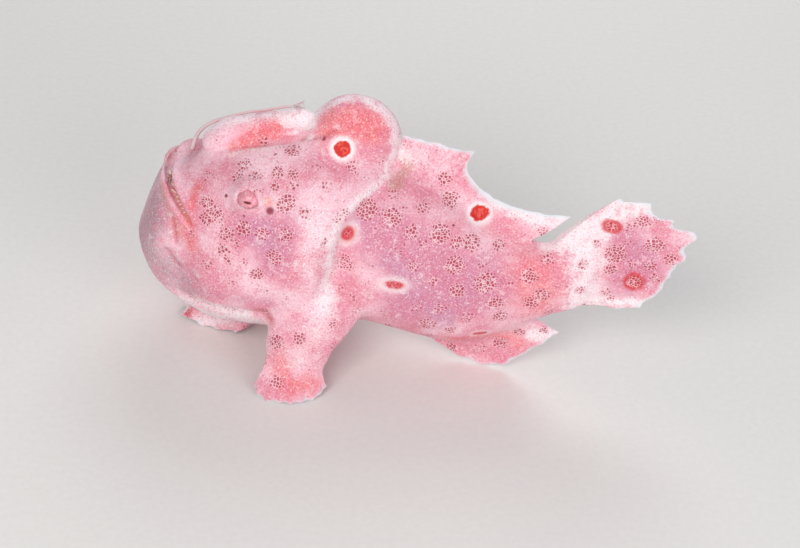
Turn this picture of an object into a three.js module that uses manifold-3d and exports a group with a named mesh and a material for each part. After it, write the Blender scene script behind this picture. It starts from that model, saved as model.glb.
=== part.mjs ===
// A painted frogfish, life size, as a still museum model: a small pink fish that squats on the sea bed
// on its leg-like fins. The head points along -X, its left side faces -Y and +Z is up. All sizes are
// millimetres. The origin is on the floor, under the middle of the model's box.
//
// The head, trunk and tail are lofted through a few named sections. Each fin is a membrane stretched
// from a root curve to a margin curve, with its rays raised as ridges in its own surface. Pieces that
// touch are cut by their neighbour, grown by the parting gap, so that they meet face to face.
import * as THREE from "three";
import { mergeVertices } from "three/addons/utils/BufferGeometryUtils.js";
import Module from "manifold-3d";

const wasm = await Module();
wasm.setup();

// Driving dimensions
const partingGap = 0.3;
const leftSide = -1;
const rightSide = 1;

const head = {
  front: -32.9,
  rear: 4.6,
  frontRounding: 5,
  rearRounding: 6.5,
  rearLean: 10,
  squareness: 2.2,
  top: [[-32.9, 20], [-31.8, 25.4], [-28.7, 31.8], [-24, 35.2], [-18, 38.6], [-12, 41.1], [-5, 42.6], [4.6, 40]],
  bottom: [[-32.9, 17], [-31.2, 14.2], [-28.2, 10.2], [-24, 6.4], [-18, 3.9], [-10, 4.2], [-2, 5.2], [4.6, 8]],
  halfWidth: [[-33, 6.6], [-31, 8.6], [-28.4, 10], [-24, 12], [-18, 14.2], [-11, 15.8], [-4, 16.2], [4.6, 15]],
  widest: [[-33, 18.6], [-28, 18.8], [-20, 20], [-10, 21.5], [4.6, 22]],
  bend: [[-33, 0], [4.6, 0]],
  // Where the sides stand out or draw in: at [x, z], over a reach of [x, z], by a share of the half width.
  swellings: [
    { at: [-13, 35.6], reach: [4.2, 3.6], share: 0.07 },
    { at: [-17, 19], reach: [5.5, 7], share: 0.05 },
    { at: [-23.5, 21], reach: [2.4, 9], share: -0.07 },
    { at: [-22, 31.5], reach: [3.2, 2.6], share: 0.06 },
    { at: [-1, 22], reach: [4, 9], share: 0.05 },
    { at: [-29, 24], reach: [3, 5], share: 0.06 },
  ],
};

const trunk = {
  front: -9,
  rear: 47,
  frontRounding: 6,
  rearRounding: 3,
  rearLean: 0,
  squareness: 2.1,
  top: [[-9, 36], [3, 38.6], [10, 38.2], [18, 35.6], [25, 31.8], [32, 28.2], [37, 28.6], [42, 30.4], [47, 32]],
  bottom: [[-9, 8], [3, 7.2], [11, 6.9], [18, 5.6], [25, 5.2], [32, 8.8], [37, 12.4], [42, 15.4], [47, 17.2]],
  halfWidth: [[-9, 10], [3, 12.4], [10, 12], [18, 10.2], [25, 8], [32, 5.6], [37, 4.2], [42, 3.2], [47, 2.2]],
  widest: [[-9, 20], [10, 21], [25, 19], [37, 21], [47, 24.6]],
  bend: [[-9, 0], [3, 0], [15, -1.6], [28, -4], [42, -5.8], [60, -7.2]],
  swellings: [
    { at: [20, 14], reach: [8, 6], share: 0.07 },
    { at: [30, 25], reach: [4, 5], share: -0.08 },
  ],
};
const [headRings, headSides] = [23, 34];
const [trunkRings, trunkSides] = [25, 28];
const leanReach = 16;
const tailStart = 31;

const mouth = {
  // The gape in side view, from in front of the chin's tip, back and down to the corner of the mouth.
  gape: [[-31.4, 36.8], [-28.2, 33.2], [-25.1, 30.9], [-22.2, 28.2]],
  // The fold behind the jaw, from the corner of the mouth down and back to the throat.
  fold: [[-24.2, 24.4], [-25.6, 20.4], [-24.6, 16.6], [-20.6, 13.2], [-15, 9.8], [-10, 5.6], [-7.4, 1]],
  opening: 0.55,
  depth: 2.2,
  lipRadius: 0.8,
  lipOffset: 1.05,
  teeth: 16,
  toothHeight: 0.8,
  toothRadius: 0.26,
};

const eye = { x: -12.9, height: 35.8, radius: 2.1, sunk: 1.05, rimRadius: 0.5 };
const nostril = { radius: 0.3, rimRadius: 0.34, places: [[-17.6, 36.4], [-20.6, 33.6]] };
const gillPore = { x: 6.5, height: 9.5, radius: 0.55, rimRadius: 0.5 };

const lure = {
  path: [[-24.6, 0.9, 35.2], [-21.6, 1.4, 38.9], [-17, 2.6, 41.4], [-12, 3.5, 43.2], [-7.6, 3.7, 44.7]],
  radius: 0.36,
  filaments: 7,
  filamentLength: 2.6,
  filamentRadius: 0.3,
};

const secondSpine = {
  path: [[-20.4, 0, 36.6], [-16.6, 0, 40.6], [-11, 0, 43.1], [-3.8, 0, 45.8]],
  halfChord: [[0, 2.6], [0.3, 2.3], [0.8, 1.9], [1, 1.5]],
  halfThickness: [[0, 2.4], [0.3, 2.0], [0.8, 1.6], [1, 1.2]],
};

const thirdSpine = {
  path: [[-2, 0, 34], [1.4, 0, 39.6], [4.6, 0, 44], [9, 0, 48.6]],
  halfChord: [[0, 9.6], [0.45, 8], [0.75, 7.8], [1, 7]],
  halfThickness: [[0, 8.6], [0.4, 6.2], [0.7, 4.7], [1, 3.4]],
};

const arm = {
  path: [[1, 5, 20], [0, 11.6, 15], [-2, 15.2, 9.2], [-2.8, 16.6, 4.2]],
  halfChord: [[0, 11], [0.35, 8.4], [0.7, 6.2], [1, 5.5]],
  halfThickness: [[0, 6], [0.35, 5.2], [0.7, 3.4], [1, 2.2]],
};

const hand = {
  rays: 9,
  root: [[-7.6, 16.2, 6.2], [-2.8, 16.7, 6], [1.9, 15.6, 6.4]],
  margin: [[-9.4, 18.6, 1.4], [-8, 20.4, -0.1], [-3, 21.5, -0.25], [1.8, 19.2, -0.15], [3.6, 16.4, 1.2]],
  bow: [0, 1.2, -0.6],
  rootHalf: 1.5,
  webHalf: 0.3,
  rayHalf: 0.45,
  notch: 0.13,
  steps: 6,
};

const pelvic = {
  rays: 5,
  root: [[-15.2, 1.3, 7], [-12.2, 2.4, 5.4], [-10.4, 3.8, 4.4]],
  margin: [[-24.8, 1, 3.8], [-25.6, 1.6, 1.2], [-23.4, 2.6, -0.2], [-19, 3.7, -0.25], [-14, 4.8, 0.9]],
  bow: [0, 0.6, -0.7],
  rootHalf: 1.7,
  webHalf: 0.32,
  rayHalf: 0.6,
  notch: 0.16,
  steps: 7,
};

const dorsal = {
  rays: 13,
  root: [[9.4, -0.6, 36.6], [16, -1.7, 35], [23, -3, 31.6], [31, -4.6, 27]],
  margin: [
    [11.4, 1, 44.2],
    [18.4, 0.4, 44.6],
    [24, -0.9, 43.4],
    [27.4, -2.6, 38.6],
    [33.4, -3.6, 35.8],
    [42.2, -4.4, 34.6],
  ],
  bow: [-0.9, 0.4, 0.5],
  rootHalf: 2.1,
  webHalf: 0.28,
  rayHalf: 0.34,
  notch: 0.05,
  steps: 7,
};

const anal = {
  rays: 7,
  root: [[18.6, -2.6, 7.6], [27, -4, 9], [35.6, -5.1, 13.6]],
  margin: [[21.6, -3.2, 2.4], [26.6, -4, -0.2], [32.2, -4.7, -0.15], [37, -5.2, 3.4], [43.2, -5.6, 10.6]],
  bow: [0.8, 0, -0.8],
  rootHalf: 2.2,
  webHalf: 0.3,
  rayHalf: 0.45,
  notch: 0.08,
  steps: 7,
};

const caudal = {
  rays: 9,
  root: [[38.4, -5.4, 26.8], [43, -5.9, 23], [44.4, -6, 17.6]],
  margin: [
    [48.8, -6.5, 41.4],
    [56.2, -7.1, 40.8],
    [61.9, -7.8, 36.8],
    [61.6, -7.6, 28.4],
    [58, -7, 20.6],
    [52, -6.5, 17],
  ],
  bow: [0, 0.7, 0],
  rootHalf: 1.7,
  webHalf: 0.28,
  rayHalf: 0.4,
  notch: 0.06,
  steps: 9,
};

// Small mathematics

// A smooth curve y(x) through a table of [x, y] pairs that never overshoots its points.
function through(table) {
  const slopes = [];
  for (let i = 0; i < table.length - 1; i++) {
    slopes.push((table[i + 1][1] - table[i][1]) / (table[i + 1][0] - table[i][0]));
  }
  const tangents = table.map((_, i) => {
    const before = slopes[Math.max(i - 1, 0)];
    const after = slopes[Math.min(i, slopes.length - 1)];
    return before * after <= 0 ? 0 : (2 * before * after) / (before + after);
  });
  return (x) => {
    let i = 0;
    while (i < table.length - 2 && x > table[i + 1][0]) i++;
    const width = table[i + 1][0] - table[i][0];
    const u = THREE.MathUtils.clamp((x - table[i][0]) / width, 0, 1);
    const [y0, y1] = [table[i][1], table[i + 1][1]];
    const [m0, m1] = [tangents[i] * width, tangents[i + 1] * width];
    const fromPoints = y0 * (1 + 2 * u) * (1 - u) ** 2 + y1 * u * u * (3 - 2 * u);
    return fromPoints + m0 * u * (1 - u) ** 2 + m1 * u * u * (u - 1);
  };
}

// A quarter-ellipse factor that rounds off an end of length rounding, at distance from the end.
function rounded(distance, rounding) {
  const u = THREE.MathUtils.clamp(1 - distance / rounding, 0, 1);
  return Math.sqrt(1 - u * u);
}

// A curve through points whose y is mirrored to the given side of the fish.
function curveOn(side, points) {
  return new THREE.CatmullRomCurve3(points.map(([x, y, z]) => new THREE.Vector3(x, y * side, z)));
}

// A repeatable random number from 0 to 1.
function seeded(seed) {
  let state = seed;
  return () => {
    state = (state * 16807) % 2147483647;
    return state / 2147483647;
  };
}

// Solids

// A closed geometry from vertices and triangles, turned so that its faces point out.
function closedGeometry(vertices, triangles) {
  let volume = 0;
  for (const [a, b, c] of triangles) {
    volume += vertices[a].dot(new THREE.Vector3().crossVectors(vertices[b], vertices[c]));
  }
  const facing = volume < 0 ? triangles.map(([a, b, c]) => [a, c, b]) : triangles;
  return new THREE.BufferGeometry().setFromPoints(vertices).setIndex(facing.flat());
}

function solidOf(geometry) {
  const bare = geometry.clone();
  bare.deleteAttribute("normal");
  bare.deleteAttribute("uv");
  const merged = mergeVertices(bare, 1e-4);
  return new wasm.Manifold(
    new wasm.Mesh({
      numProp: 3,
      vertProperties: new Float32Array(merged.attributes.position.array),
      triVerts: new Uint32Array(merged.index.array),
    }),
  );
}

function geometryOf(solid) {
  const { numProp, vertProperties, triVerts } = solid.getMesh();
  const positions = new Float32Array((vertProperties.length / numProp) * 3);
  for (let i = 0; i * numProp < vertProperties.length; i++) {
    positions.set(vertProperties.subarray(i * numProp, i * numProp + 3), i * 3);
  }
  const geometry = new THREE.BufferGeometry();
  geometry.setAttribute("position", new THREE.BufferAttribute(positions, 3));
  geometry.setIndex(new THREE.BufferAttribute(triVerts, 1));
  geometry.computeVertexNormals();
  return geometry;
}

// The closed surfaces of a solid, the largest first.
function piecesOf(solid) {
  return solid.decompose().sort((a, b) => b.volume() - a.volume());
}

function union(solids) {
  return solids.reduce((all, one) => all.add(one));
}

// Rings of equal length joined into a tube, with a single point at each end.
function loft(rings, firstPole, lastPole) {
  const sides = rings[0].length;
  const vertices = [firstPole, ...rings.flat(), lastPole];
  const last = vertices.length - 1;
  const at = (ring, side) => 1 + ring * sides + (side % sides);
  const triangles = [];
  for (let side = 0; side < sides; side++) {
    triangles.push([0, at(0, side + 1), at(0, side)]);
    triangles.push([last, at(rings.length - 1, side), at(rings.length - 1, side + 1)]);
    for (let ring = 0; ring < rings.length - 1; ring++) {
      const corners = [at(ring, side), at(ring, side + 1), at(ring + 1, side + 1), at(ring + 1, side)];
      triangles.push([corners[0], corners[1], corners[2]], [corners[0], corners[2], corners[3]]);
    }
  }
  return solidOf(closedGeometry(vertices, triangles));
}

// A stretch of body as functions of x, with every surface moved outward by grow.
function bodyShape(body, grow = 0) {
  const tables = [body.top, body.bottom, body.halfWidth, body.widest, body.bend];
  const [top, bottom, halfWidth, widest, bend] = tables.map(through);
  const [front, rear] = [body.front - grow, body.rear + grow];
  const section = (x) => {
    const size = rounded(x - front, body.frontRounding) * rounded(rear - x, body.rearRounding);
    const middle = widest(x);
    return {
      y: bend(x),
      z: middle,
      halfWidth: (halfWidth(x) + grow) * size,
      up: (top(x) - middle + grow) * size,
      down: (middle - bottom(x) + grow) * size,
    };
  };
  const swell = (x, z) =>
    body.swellings.reduce((factor, { at, reach, share }) => {
      return factor + share * Math.exp(-(((x - at[0]) / reach[0]) ** 2) - ((z - at[1]) / reach[1]) ** 2);
    }, 1);
  // The half width of the section at x and height z, and 0 where the point is outside.
  const halfWidthAt = (x, z) => {
    if (x <= front || x >= rear) return 0;
    const s = section(x);
    const share = Math.abs(z - s.z) / (z > s.z ? s.up : s.down);
    if (share >= 1) return 0;
    return swell(x, z) * s.halfWidth * (1 - share ** body.squareness) ** (1 / body.squareness);
  };
  return { front, rear, section, swell, halfWidthAt };
}

function bodySolid(body, grow, ringCount, sides) {
  const { front, rear, section, swell } = bodyShape(body, grow);
  const power = 2 / body.squareness;
  const rings = [];
  for (let i = 1; i <= ringCount; i++) {
    const x = (front + rear) / 2 - ((rear - front) / 2) * Math.cos((Math.PI * i) / (ringCount + 1));
    const s = section(x);
    const ring = [];
    for (let side = 0; side < sides; side++) {
      const angle = (2 * Math.PI * side) / sides;
      const [across, upward] = [Math.sin(angle), Math.cos(angle)];
      const z = s.z + Math.sign(upward) * Math.abs(upward) ** power * (upward > 0 ? s.up : s.down);
      const y = s.y + Math.sign(across) * Math.abs(across) ** power * s.halfWidth * swell(x, z);
      const lean = body.rearLean * THREE.MathUtils.smoothstep(x, rear - leanReach, rear);
      ring.push(new THREE.Vector3(x + lean * Math.max(upward, 0) ** 3, y, z));
    }
    rings.push(ring);
  }
  const pole = (x) => {
    const s = section(x);
    return new THREE.Vector3(x, s.y, s.z);
  };
  return loft(rings, pole(front), pole(rear));
}

// A round-ended limb along a curve, flattened across the direction chord.
function limb(curve, { halfChord, halfThickness, chord, steps, sides, endRounding = 0.2 }) {
  const [wide, thick] = [through(halfChord), through(halfThickness)];
  const rings = [];
  for (let i = 1; i < steps; i++) {
    const t = 0.5 - 0.5 * Math.cos((Math.PI * i) / steps);
    const centre = curve.getPointAt(t);
    const along = curve.getTangentAt(t);
    const across = chord.clone().addScaledVector(along, -chord.dot(along)).normalize();
    const outward = new THREE.Vector3().crossVectors(along, across);
    const size = rounded(t, endRounding) * rounded(1 - t, endRounding);
    const ring = [];
    for (let side = 0; side < sides; side++) {
      const angle = (2 * Math.PI * side) / sides;
      ring.push(
        centre
          .clone()
          .addScaledVector(across, Math.cos(angle) * wide(t) * size)
          .addScaledVector(outward, Math.sin(angle) * thick(t) * size),
      );
    }
    rings.push(ring);
  }
  return loft(rings, curve.getPointAt(0), curve.getPointAt(1));
}

// A fin: rays run from the root curve to the margin curve, and each stands up as a ridge on both faces.
function finSolid(side, { rays, root, margin, bow, rootHalf, webHalf, rayHalf, notch, steps }, grow = 0) {
  const [rootCurve, marginCurve] = [curveOn(side, root), curveOn(side, margin)];
  const bowing = new THREE.Vector3(bow[0], bow[1] * side, bow[2]);
  const betweenRays = [
    [0, 1],
    [0.28, 0.12],
    [0.72, 0.12],
  ];
  const columns = [];
  for (let ray = 0; ray < rays; ray++) {
    for (const [offset, ridge] of betweenRays) {
      if (ray < rays - 1 || offset === 0) columns.push([(ray + offset) / (rays - 1), ridge]);
    }
  }
  const middle = (t, r) => {
    const [from, to] = [rootCurve.getPointAt(t), marginCurve.getPointAt(t)];
    return from.lerp(to, r).addScaledVector(bowing, 4 * r * (1 - r));
  };
  const step = 0.002;
  const normalAt = (t, r) => {
    const alongMargin = middle(Math.min(t + step, 1), r).sub(middle(Math.max(t - step, 0), r));
    const alongRay = middle(t, r + step).sub(middle(t, r - step));
    return alongMargin.cross(alongRay).normalize();
  };
  const faces = [[], []];
  for (const [t, ridge] of columns) {
    for (let row = 0; row <= steps; row++) {
      const r = (row / steps) * (1 - notch * (1 - ridge));
      const flesh = (rootHalf - webHalf) * (1 - row / steps) ** 2.2;
      const rim = row === steps ? 0.8 : 1;
      const half = (webHalf + flesh + rayHalf * ridge * (1 - 0.55 * r)) * rim + grow;
      const normal = normalAt(t, r);
      faces[0].push(middle(t, r).addScaledVector(normal, half));
      faces[1].push(middle(t, r).addScaledVector(normal, -half));
    }
  }
  const vertices = [...faces[0], ...faces[1]];
  const perFace = faces[0].length;
  const at = (face, column, row) => face * perFace + column * (steps + 1) + row;
  const triangles = [];
  const quad = (a, b, c, d) => triangles.push([a, b, c], [a, c, d]);
  const lastColumn = columns.length - 1;
  for (let column = 0; column < lastColumn; column++) {
    for (let row = 0; row < steps; row++) {
      quad(at(0, column, row), at(0, column + 1, row), at(0, column + 1, row + 1), at(0, column, row + 1));
      const [a, b] = [at(1, column, row), at(1, column + 1, row)];
      const [c, d] = [at(1, column + 1, row + 1), at(1, column, row + 1)];
      triangles.push([a, c, b], [a, d, c]);
    }
    quad(at(0, column + 1, 0), at(0, column, 0), at(1, column, 0), at(1, column + 1, 0));
    quad(at(0, column, steps), at(0, column + 1, steps), at(1, column + 1, steps), at(1, column, steps));
  }
  for (let row = 0; row < steps; row++) {
    quad(at(0, 0, row), at(0, 0, row + 1), at(1, 0, row + 1), at(1, 0, row));
    quad(at(0, lastColumn, row + 1), at(0, lastColumn, row), at(1, lastColumn, row), at(1, lastColumn, row + 1));
  }
  return solidOf(closedGeometry(vertices, triangles));
}

function ballAt(centre, radius, widthSegments = 14, heightSegments = 9) {
  const ball = new THREE.SphereGeometry(radius, widthSegments, heightSegments);
  return solidOf(ball.translate(centre.x, centre.y, centre.z));
}

function ringAt(centre, normal, radius, tube, sides = 16) {
  const ring = new THREE.TorusGeometry(radius, tube, 6, sides);
  ring.applyQuaternion(new THREE.Quaternion().setFromUnitVectors(new THREE.Vector3(0, 0, 1), normal));
  return solidOf(ring.translate(centre.x, centre.y, centre.z));
}

function coneFrom(foot, tip, radius, sides = 5) {
  const along = tip.clone().sub(foot);
  const cone = new THREE.ConeGeometry(radius, along.length(), sides);
  cone.translate(0, along.length() / 2, 0);
  cone.applyQuaternion(new THREE.Quaternion().setFromUnitVectors(new THREE.Vector3(0, 1, 0), along.normalize()));
  return solidOf(cone.translate(foot.x, foot.y, foot.z));
}

// The point of a body's skin at x and height z on one side, with its outward normal.
function skinPoint(shape, x, z, side) {
  const reach = (px, pz) => shape.halfWidthAt(px, pz);
  const step = 0.05;
  const slopeX = (reach(x + step, z) - reach(x - step, z)) / (2 * step);
  const slopeZ = (reach(x, z + step) - reach(x, z - step)) / (2 * step);
  const normal = new THREE.Vector3(-slopeX, side, -slopeZ).normalize();
  return { point: new THREE.Vector3(x, shape.section(x).y + side * reach(x, z), z), normal };
}

// Head and lower jaw

const headShape = bodyShape(head);
const headWhole = bodySolid(head, 0, headRings, headSides);
const headClearance = bodySolid(head, partingGap, headRings, headSides);

// A thin curved wall across the whole head, along the gape and then down the fold behind the jaw.
function jawParting() {
  const wallSteps = 28;
  const line = new THREE.CatmullRomCurve3(
    [...mouth.gape, ...mouth.fold].map(([x, z]) => new THREE.Vector3(x, z, 0)),
  );
  const offset = (distance) =>
    line.getSpacedPoints(wallSteps).map((point, i) => {
      const tangent = line.getTangentAt(i / wallSteps);
      return new THREE.Vector2(point.x - tangent.y * distance, point.y + tangent.x * distance);
    });
  const outline = new THREE.Shape([...offset(partingGap / 2), ...offset(-partingGap / 2).reverse()]);
  const reach = 2 * Math.max(...head.halfWidth.map(([, half]) => half));
  const wall = new THREE.ExtrudeGeometry(outline, { depth: 2 * reach, bevelEnabled: false, steps: 1 });
  wall.translate(0, 0, -reach).rotateX(Math.PI / 2);
  return solidOf(wall);
}

// Points along the gape on the head's skin from the left corner to the right one, moved off the gape line.
function gapeLine(offset, inset, count) {
  const side = new THREE.CatmullRomCurve3(mouth.gape.map(([x, z]) => new THREE.Vector3(x, z, 0)));
  const place = (s) => {
    const [point, tangent] = [side.getPoint(s), side.getTangent(s)];
    return [point.x - tangent.y * offset, point.y + tangent.x * offset];
  };
  const cornerReach = headShape.halfWidthAt(...place(1));
  const points = [];
  for (let i = 0; i <= count; i++) {
    const y = Math.sin(((i / count) * 2 - 1) * (Math.PI / 2)) * (cornerReach - inset);
    let [outside, inside] = [0, 1];
    for (let halving = 0; halving < 24; halving++) {
      const s = (outside + inside) / 2;
      if (headShape.halfWidthAt(...place(s)) > Math.abs(y) + inset) inside = s;
      else outside = s;
    }
    const [x, z] = place(inside);
    points.push(new THREE.Vector3(x, y, z));
  }
  return new THREE.CatmullRomCurve3(points);
}

function lip(offset) {
  const { lipRadius } = mouth;
  return limb(gapeLine(offset, 0.25, 16), {
    halfChord: [[0, 0.5 * lipRadius], [0.2, lipRadius], [0.8, lipRadius], [1, 0.5 * lipRadius]],
    halfThickness: [[0, 0.5 * lipRadius], [0.2, lipRadius], [0.8, lipRadius], [1, 0.5 * lipRadius]],
    chord: new THREE.Vector3(-1, 0, 1),
    steps: 18,
    sides: 7,
    endRounding: 0.06,
  });
}

// The gap between the lips, deeper than it is wide.
function mouthSlot() {
  const slot = { halfChord: [], halfThickness: [] };
  for (const t of [0, 0.25, 0.5, 0.75, 1]) {
    const share = Math.sin(Math.PI * t);
    slot.halfChord.push([t, mouth.opening * (0.45 + 0.55 * share)]);
    slot.halfThickness.push([t, mouth.depth * (0.6 + 0.4 * share)]);
  }
  const [tip, corner] = [mouth.gape[0], mouth.gape[3]];
  const gapeSlope = new THREE.Vector3(corner[1] - tip[1], 0, tip[0] - corner[0]);
  return limb(gapeLine(0, 0.2, 16), {
    ...slot,
    chord: gapeSlope.normalize(),
    steps: 16,
    sides: 6,
    endRounding: 0.05,
  });
}

function lowerTeeth() {
  const random = seeded(11);
  const line = gapeLine(-0.62, 0.9, 16);
  const upward = new THREE.Vector3(0.55, 0, 0.83);
  const teeth = [];
  for (let i = 0; i < mouth.teeth; i++) {
    const foot = line.getPointAt(0.12 + (0.76 * (i + 0.3 * random())) / (mouth.teeth - 1));
    const tip = foot.clone().addScaledVector(upward, mouth.toothHeight * (0.8 + 0.4 * random()));
    teeth.push(coneFrom(foot.addScaledVector(upward, -0.35), tip, mouth.toothRadius));
  }
  return teeth;
}

const eyes = [leftSide, rightSide].map((side) => {
  const { point, normal } = skinPoint(headShape, eye.x, eye.height, side);
  return { side, normal, skin: point, centre: point.clone().addScaledVector(normal, -eye.sunk) };
});

function headAndJaw() {
  const [skull, jaw] = piecesOf(headWhole.subtract(jawParting()));
  const slot = mouthSlot();
  let upper = skull.add(lip(mouth.lipOffset).subtract(jawParting()));
  let lower = jaw.add(lip(-mouth.lipOffset).subtract(jawParting()));
  upper = upper.subtract(slot);
  lower = union([piecesOf(lower.subtract(slot))[0], ...lowerTeeth()]);
  for (const { side, normal, skin, centre } of eyes) {
    const exposed = Math.sqrt(eye.radius ** 2 - eye.sunk ** 2);
    upper = upper.add(ringAt(skin, normal, exposed + 0.55, eye.rimRadius, 16));
    upper = upper.subtract(ballAt(centre, eye.radius + partingGap, 14, 10));
    for (const [x, z] of nostril.places) {
      const { point, normal: outward } = skinPoint(headShape, x, z, side);
      upper = upper.add(ringAt(point, outward, nostril.radius + nostril.rimRadius, nostril.rimRadius, 8));
      upper = upper.subtract(ballAt(point, nostril.radius, 8, 6));
    }
  }
  return [upper, lower];
}

// Trunk and tail

const trunkShape = bodyShape(trunk);
const trunkWhole = bodySolid(trunk, 0, trunkRings, trunkSides);
const trunkClearance = bodySolid(trunk, partingGap, trunkRings, trunkSides);

function trunkAndTail() {
  const slab = new THREE.BoxGeometry(partingGap, 60, 80).translate(tailStart, 0, 20);
  let [body, tail] = piecesOf(trunkWhole.subtract(headClearance).subtract(solidOf(slab)));
  for (const side of [leftSide, rightSide]) {
    const { point, normal } = skinPoint(trunkShape, gillPore.x, gillPore.height, side);
    body = body.add(ringAt(point, normal, gillPore.radius + gillPore.rimRadius, gillPore.rimRadius, 12));
    body = body.subtract(ballAt(point, gillPore.radius, 10, 6));
  }
  return [body, tail];
}

// Spines of the head

function secondSpineSolid() {
  return limb(curveOn(rightSide, secondSpine.path), {
    ...secondSpine,
    chord: new THREE.Vector3(0, 0, 1),
    steps: 12,
    sides: 14,
    endRounding: 0.12,
  });
}

function thirdSpineSolid(grow = 0) {
  const wider = (table) => table.map(([t, half]) => [t, half + grow]);
  return limb(curveOn(rightSide, thirdSpine.path), {
    halfChord: wider(thirdSpine.halfChord),
    halfThickness: wider(thirdSpine.halfThickness),
    chord: new THREE.Vector3(-1, 0, 1),
    steps: 14,
    sides: 22,
    endRounding: 0.42,
  });
}

// The fishing rod: a fine stalk laid back over the head, with a tuft of short filaments at its tip.
function lureSolid() {
  const random = seeded(5);
  const path = curveOn(rightSide, lure.path);
  const stalk = limb(path, {
    halfChord: [[0, lure.radius * 1.7], [0.2, lure.radius], [1, lure.radius]],
    halfThickness: [[0, lure.radius * 1.7], [0.2, lure.radius], [1, lure.radius]],
    chord: new THREE.Vector3(0, 1, 0),
    steps: 14,
    sides: 6,
    endRounding: 0.03,
  });
  const tip = path.getPointAt(0.97);
  const filaments = [];
  for (let i = 0; i < lure.filaments; i++) {
    const turn = (2 * Math.PI * (i + 0.4 * random())) / lure.filaments;
    const spread = new THREE.Vector3(0.9, 0.75 * Math.cos(turn), 0.55 + 0.5 * Math.sin(turn)).normalize();
    const length = lure.filamentLength * (0.8 + 0.4 * random());
    filaments.push(coneFrom(tip, tip.clone().addScaledVector(spread, length), lure.filamentRadius, 6));
  }
  return union([stalk, ballAt(tip, 0.62, 8, 6), ...filaments]);
}

// Limbs and fins, cut clear of what they grow from and of the floor

const floor = solidOf(new THREE.BoxGeometry(300, 300, 50).translate(0, 0, -25));

function armSolid(side, grow = 0) {
  const wider = (table) => table.map(([t, half]) => [t, half + grow]);
  return limb(curveOn(side, arm.path), {
    halfChord: wider(arm.halfChord),
    halfThickness: wider(arm.halfThickness),
    chord: new THREE.Vector3(1, 0, 0),
    steps: 14,
    sides: 20,
    endRounding: 0.12,
  });
}

function cutClear(solid, ...neighbours) {
  const clear = neighbours.reduce((left, neighbour) => left.subtract(neighbour), solid);
  return piecesOf(clear.subtract(floor))[0];
}

// Materials

const finish = (color, roughness) => new THREE.MeshStandardMaterial({ color, roughness, metalness: 0 });
const materials = {
  skin: finish(0xe58a97, 0.55),
  spineSkin: finish(0xef6f73, 0.55),
  finSkin: finish(0xeaa3ab, 0.6),
  eye: finish(0xc87a6a, 0.12),
  lure: finish(0xf0e2de, 0.6),
};

// Assembly

const fish = new THREE.Group();

function addNode(name, solid, material) {
  const mesh = new THREE.Mesh(geometryOf(piecesOf(solid)[0]), material);
  mesh.name = name;
  fish.add(mesh);
  return solid;
}

const [headSolid, jawSolid] = headAndJaw();
const [trunkSolid, tailSolid] = trunkAndTail();
const thirdSpineClearance = thirdSpineSolid(partingGap);
addNode("head", headSolid, materials.skin);
addNode("lower_jaw", jawSolid, materials.skin);
addNode("trunk", trunkSolid, materials.skin);
addNode("tail_stalk", tailSolid, materials.skin);
const spine3 = cutClear(thirdSpineSolid(), headClearance, trunkClearance);
addNode("third_dorsal_spine", spine3, materials.spineSkin);
const spine2 = cutClear(secondSpineSolid(), headClearance, thirdSpineClearance);
addNode("second_dorsal_spine", spine2, materials.spineSkin);
const rod = cutClear(lureSolid(), headClearance, secondSpineSolid(), thirdSpineClearance);
addNode("lure", rod, materials.lure);
const dorsalFin = cutClear(finSolid(rightSide, dorsal), headClearance, trunkClearance, thirdSpineClearance);
addNode("dorsal_fin", dorsalFin, materials.finSkin);
addNode("anal_fin", cutClear(finSolid(rightSide, anal), trunkClearance), materials.finSkin);
addNode("tail_fin", cutClear(finSolid(rightSide, caudal), trunkClearance), materials.finSkin);

for (const { side, centre } of eyes) {
  const word = side === leftSide ? "left" : "right";
  const armClearance = armSolid(side, partingGap);
  addNode(`eye_${word}`, ballAt(centre, eye.radius, 14, 10), materials.eye);
  addNode(`arm_${word}`, cutClear(armSolid(side), headClearance, trunkClearance), materials.skin);
  addNode(`hand_fin_${word}`, cutClear(finSolid(side, hand), armClearance), materials.finSkin);
  const pelvicFin = cutClear(finSolid(side, pelvic), headClearance, armClearance);
  addNode(`pelvic_fin_${word}`, pelvicFin, materials.finSkin);
}

const box = new THREE.Box3().setFromObject(fish);
const middle = box.getCenter(new THREE.Vector3());
fish.position.set(-middle.x, -middle.y, -box.min.z);

export default fish;
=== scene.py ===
# A painted frogfish, life size, as a still museum model on a pale floor.
# Places on the fish are in its own millimetres: x from the hand fins to the tail, y to its right, z up.
import math
import random

import bpy
import numpy as np
from mathutils import Matrix, Vector
from mathutils.kdtree import KDTree


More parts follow.
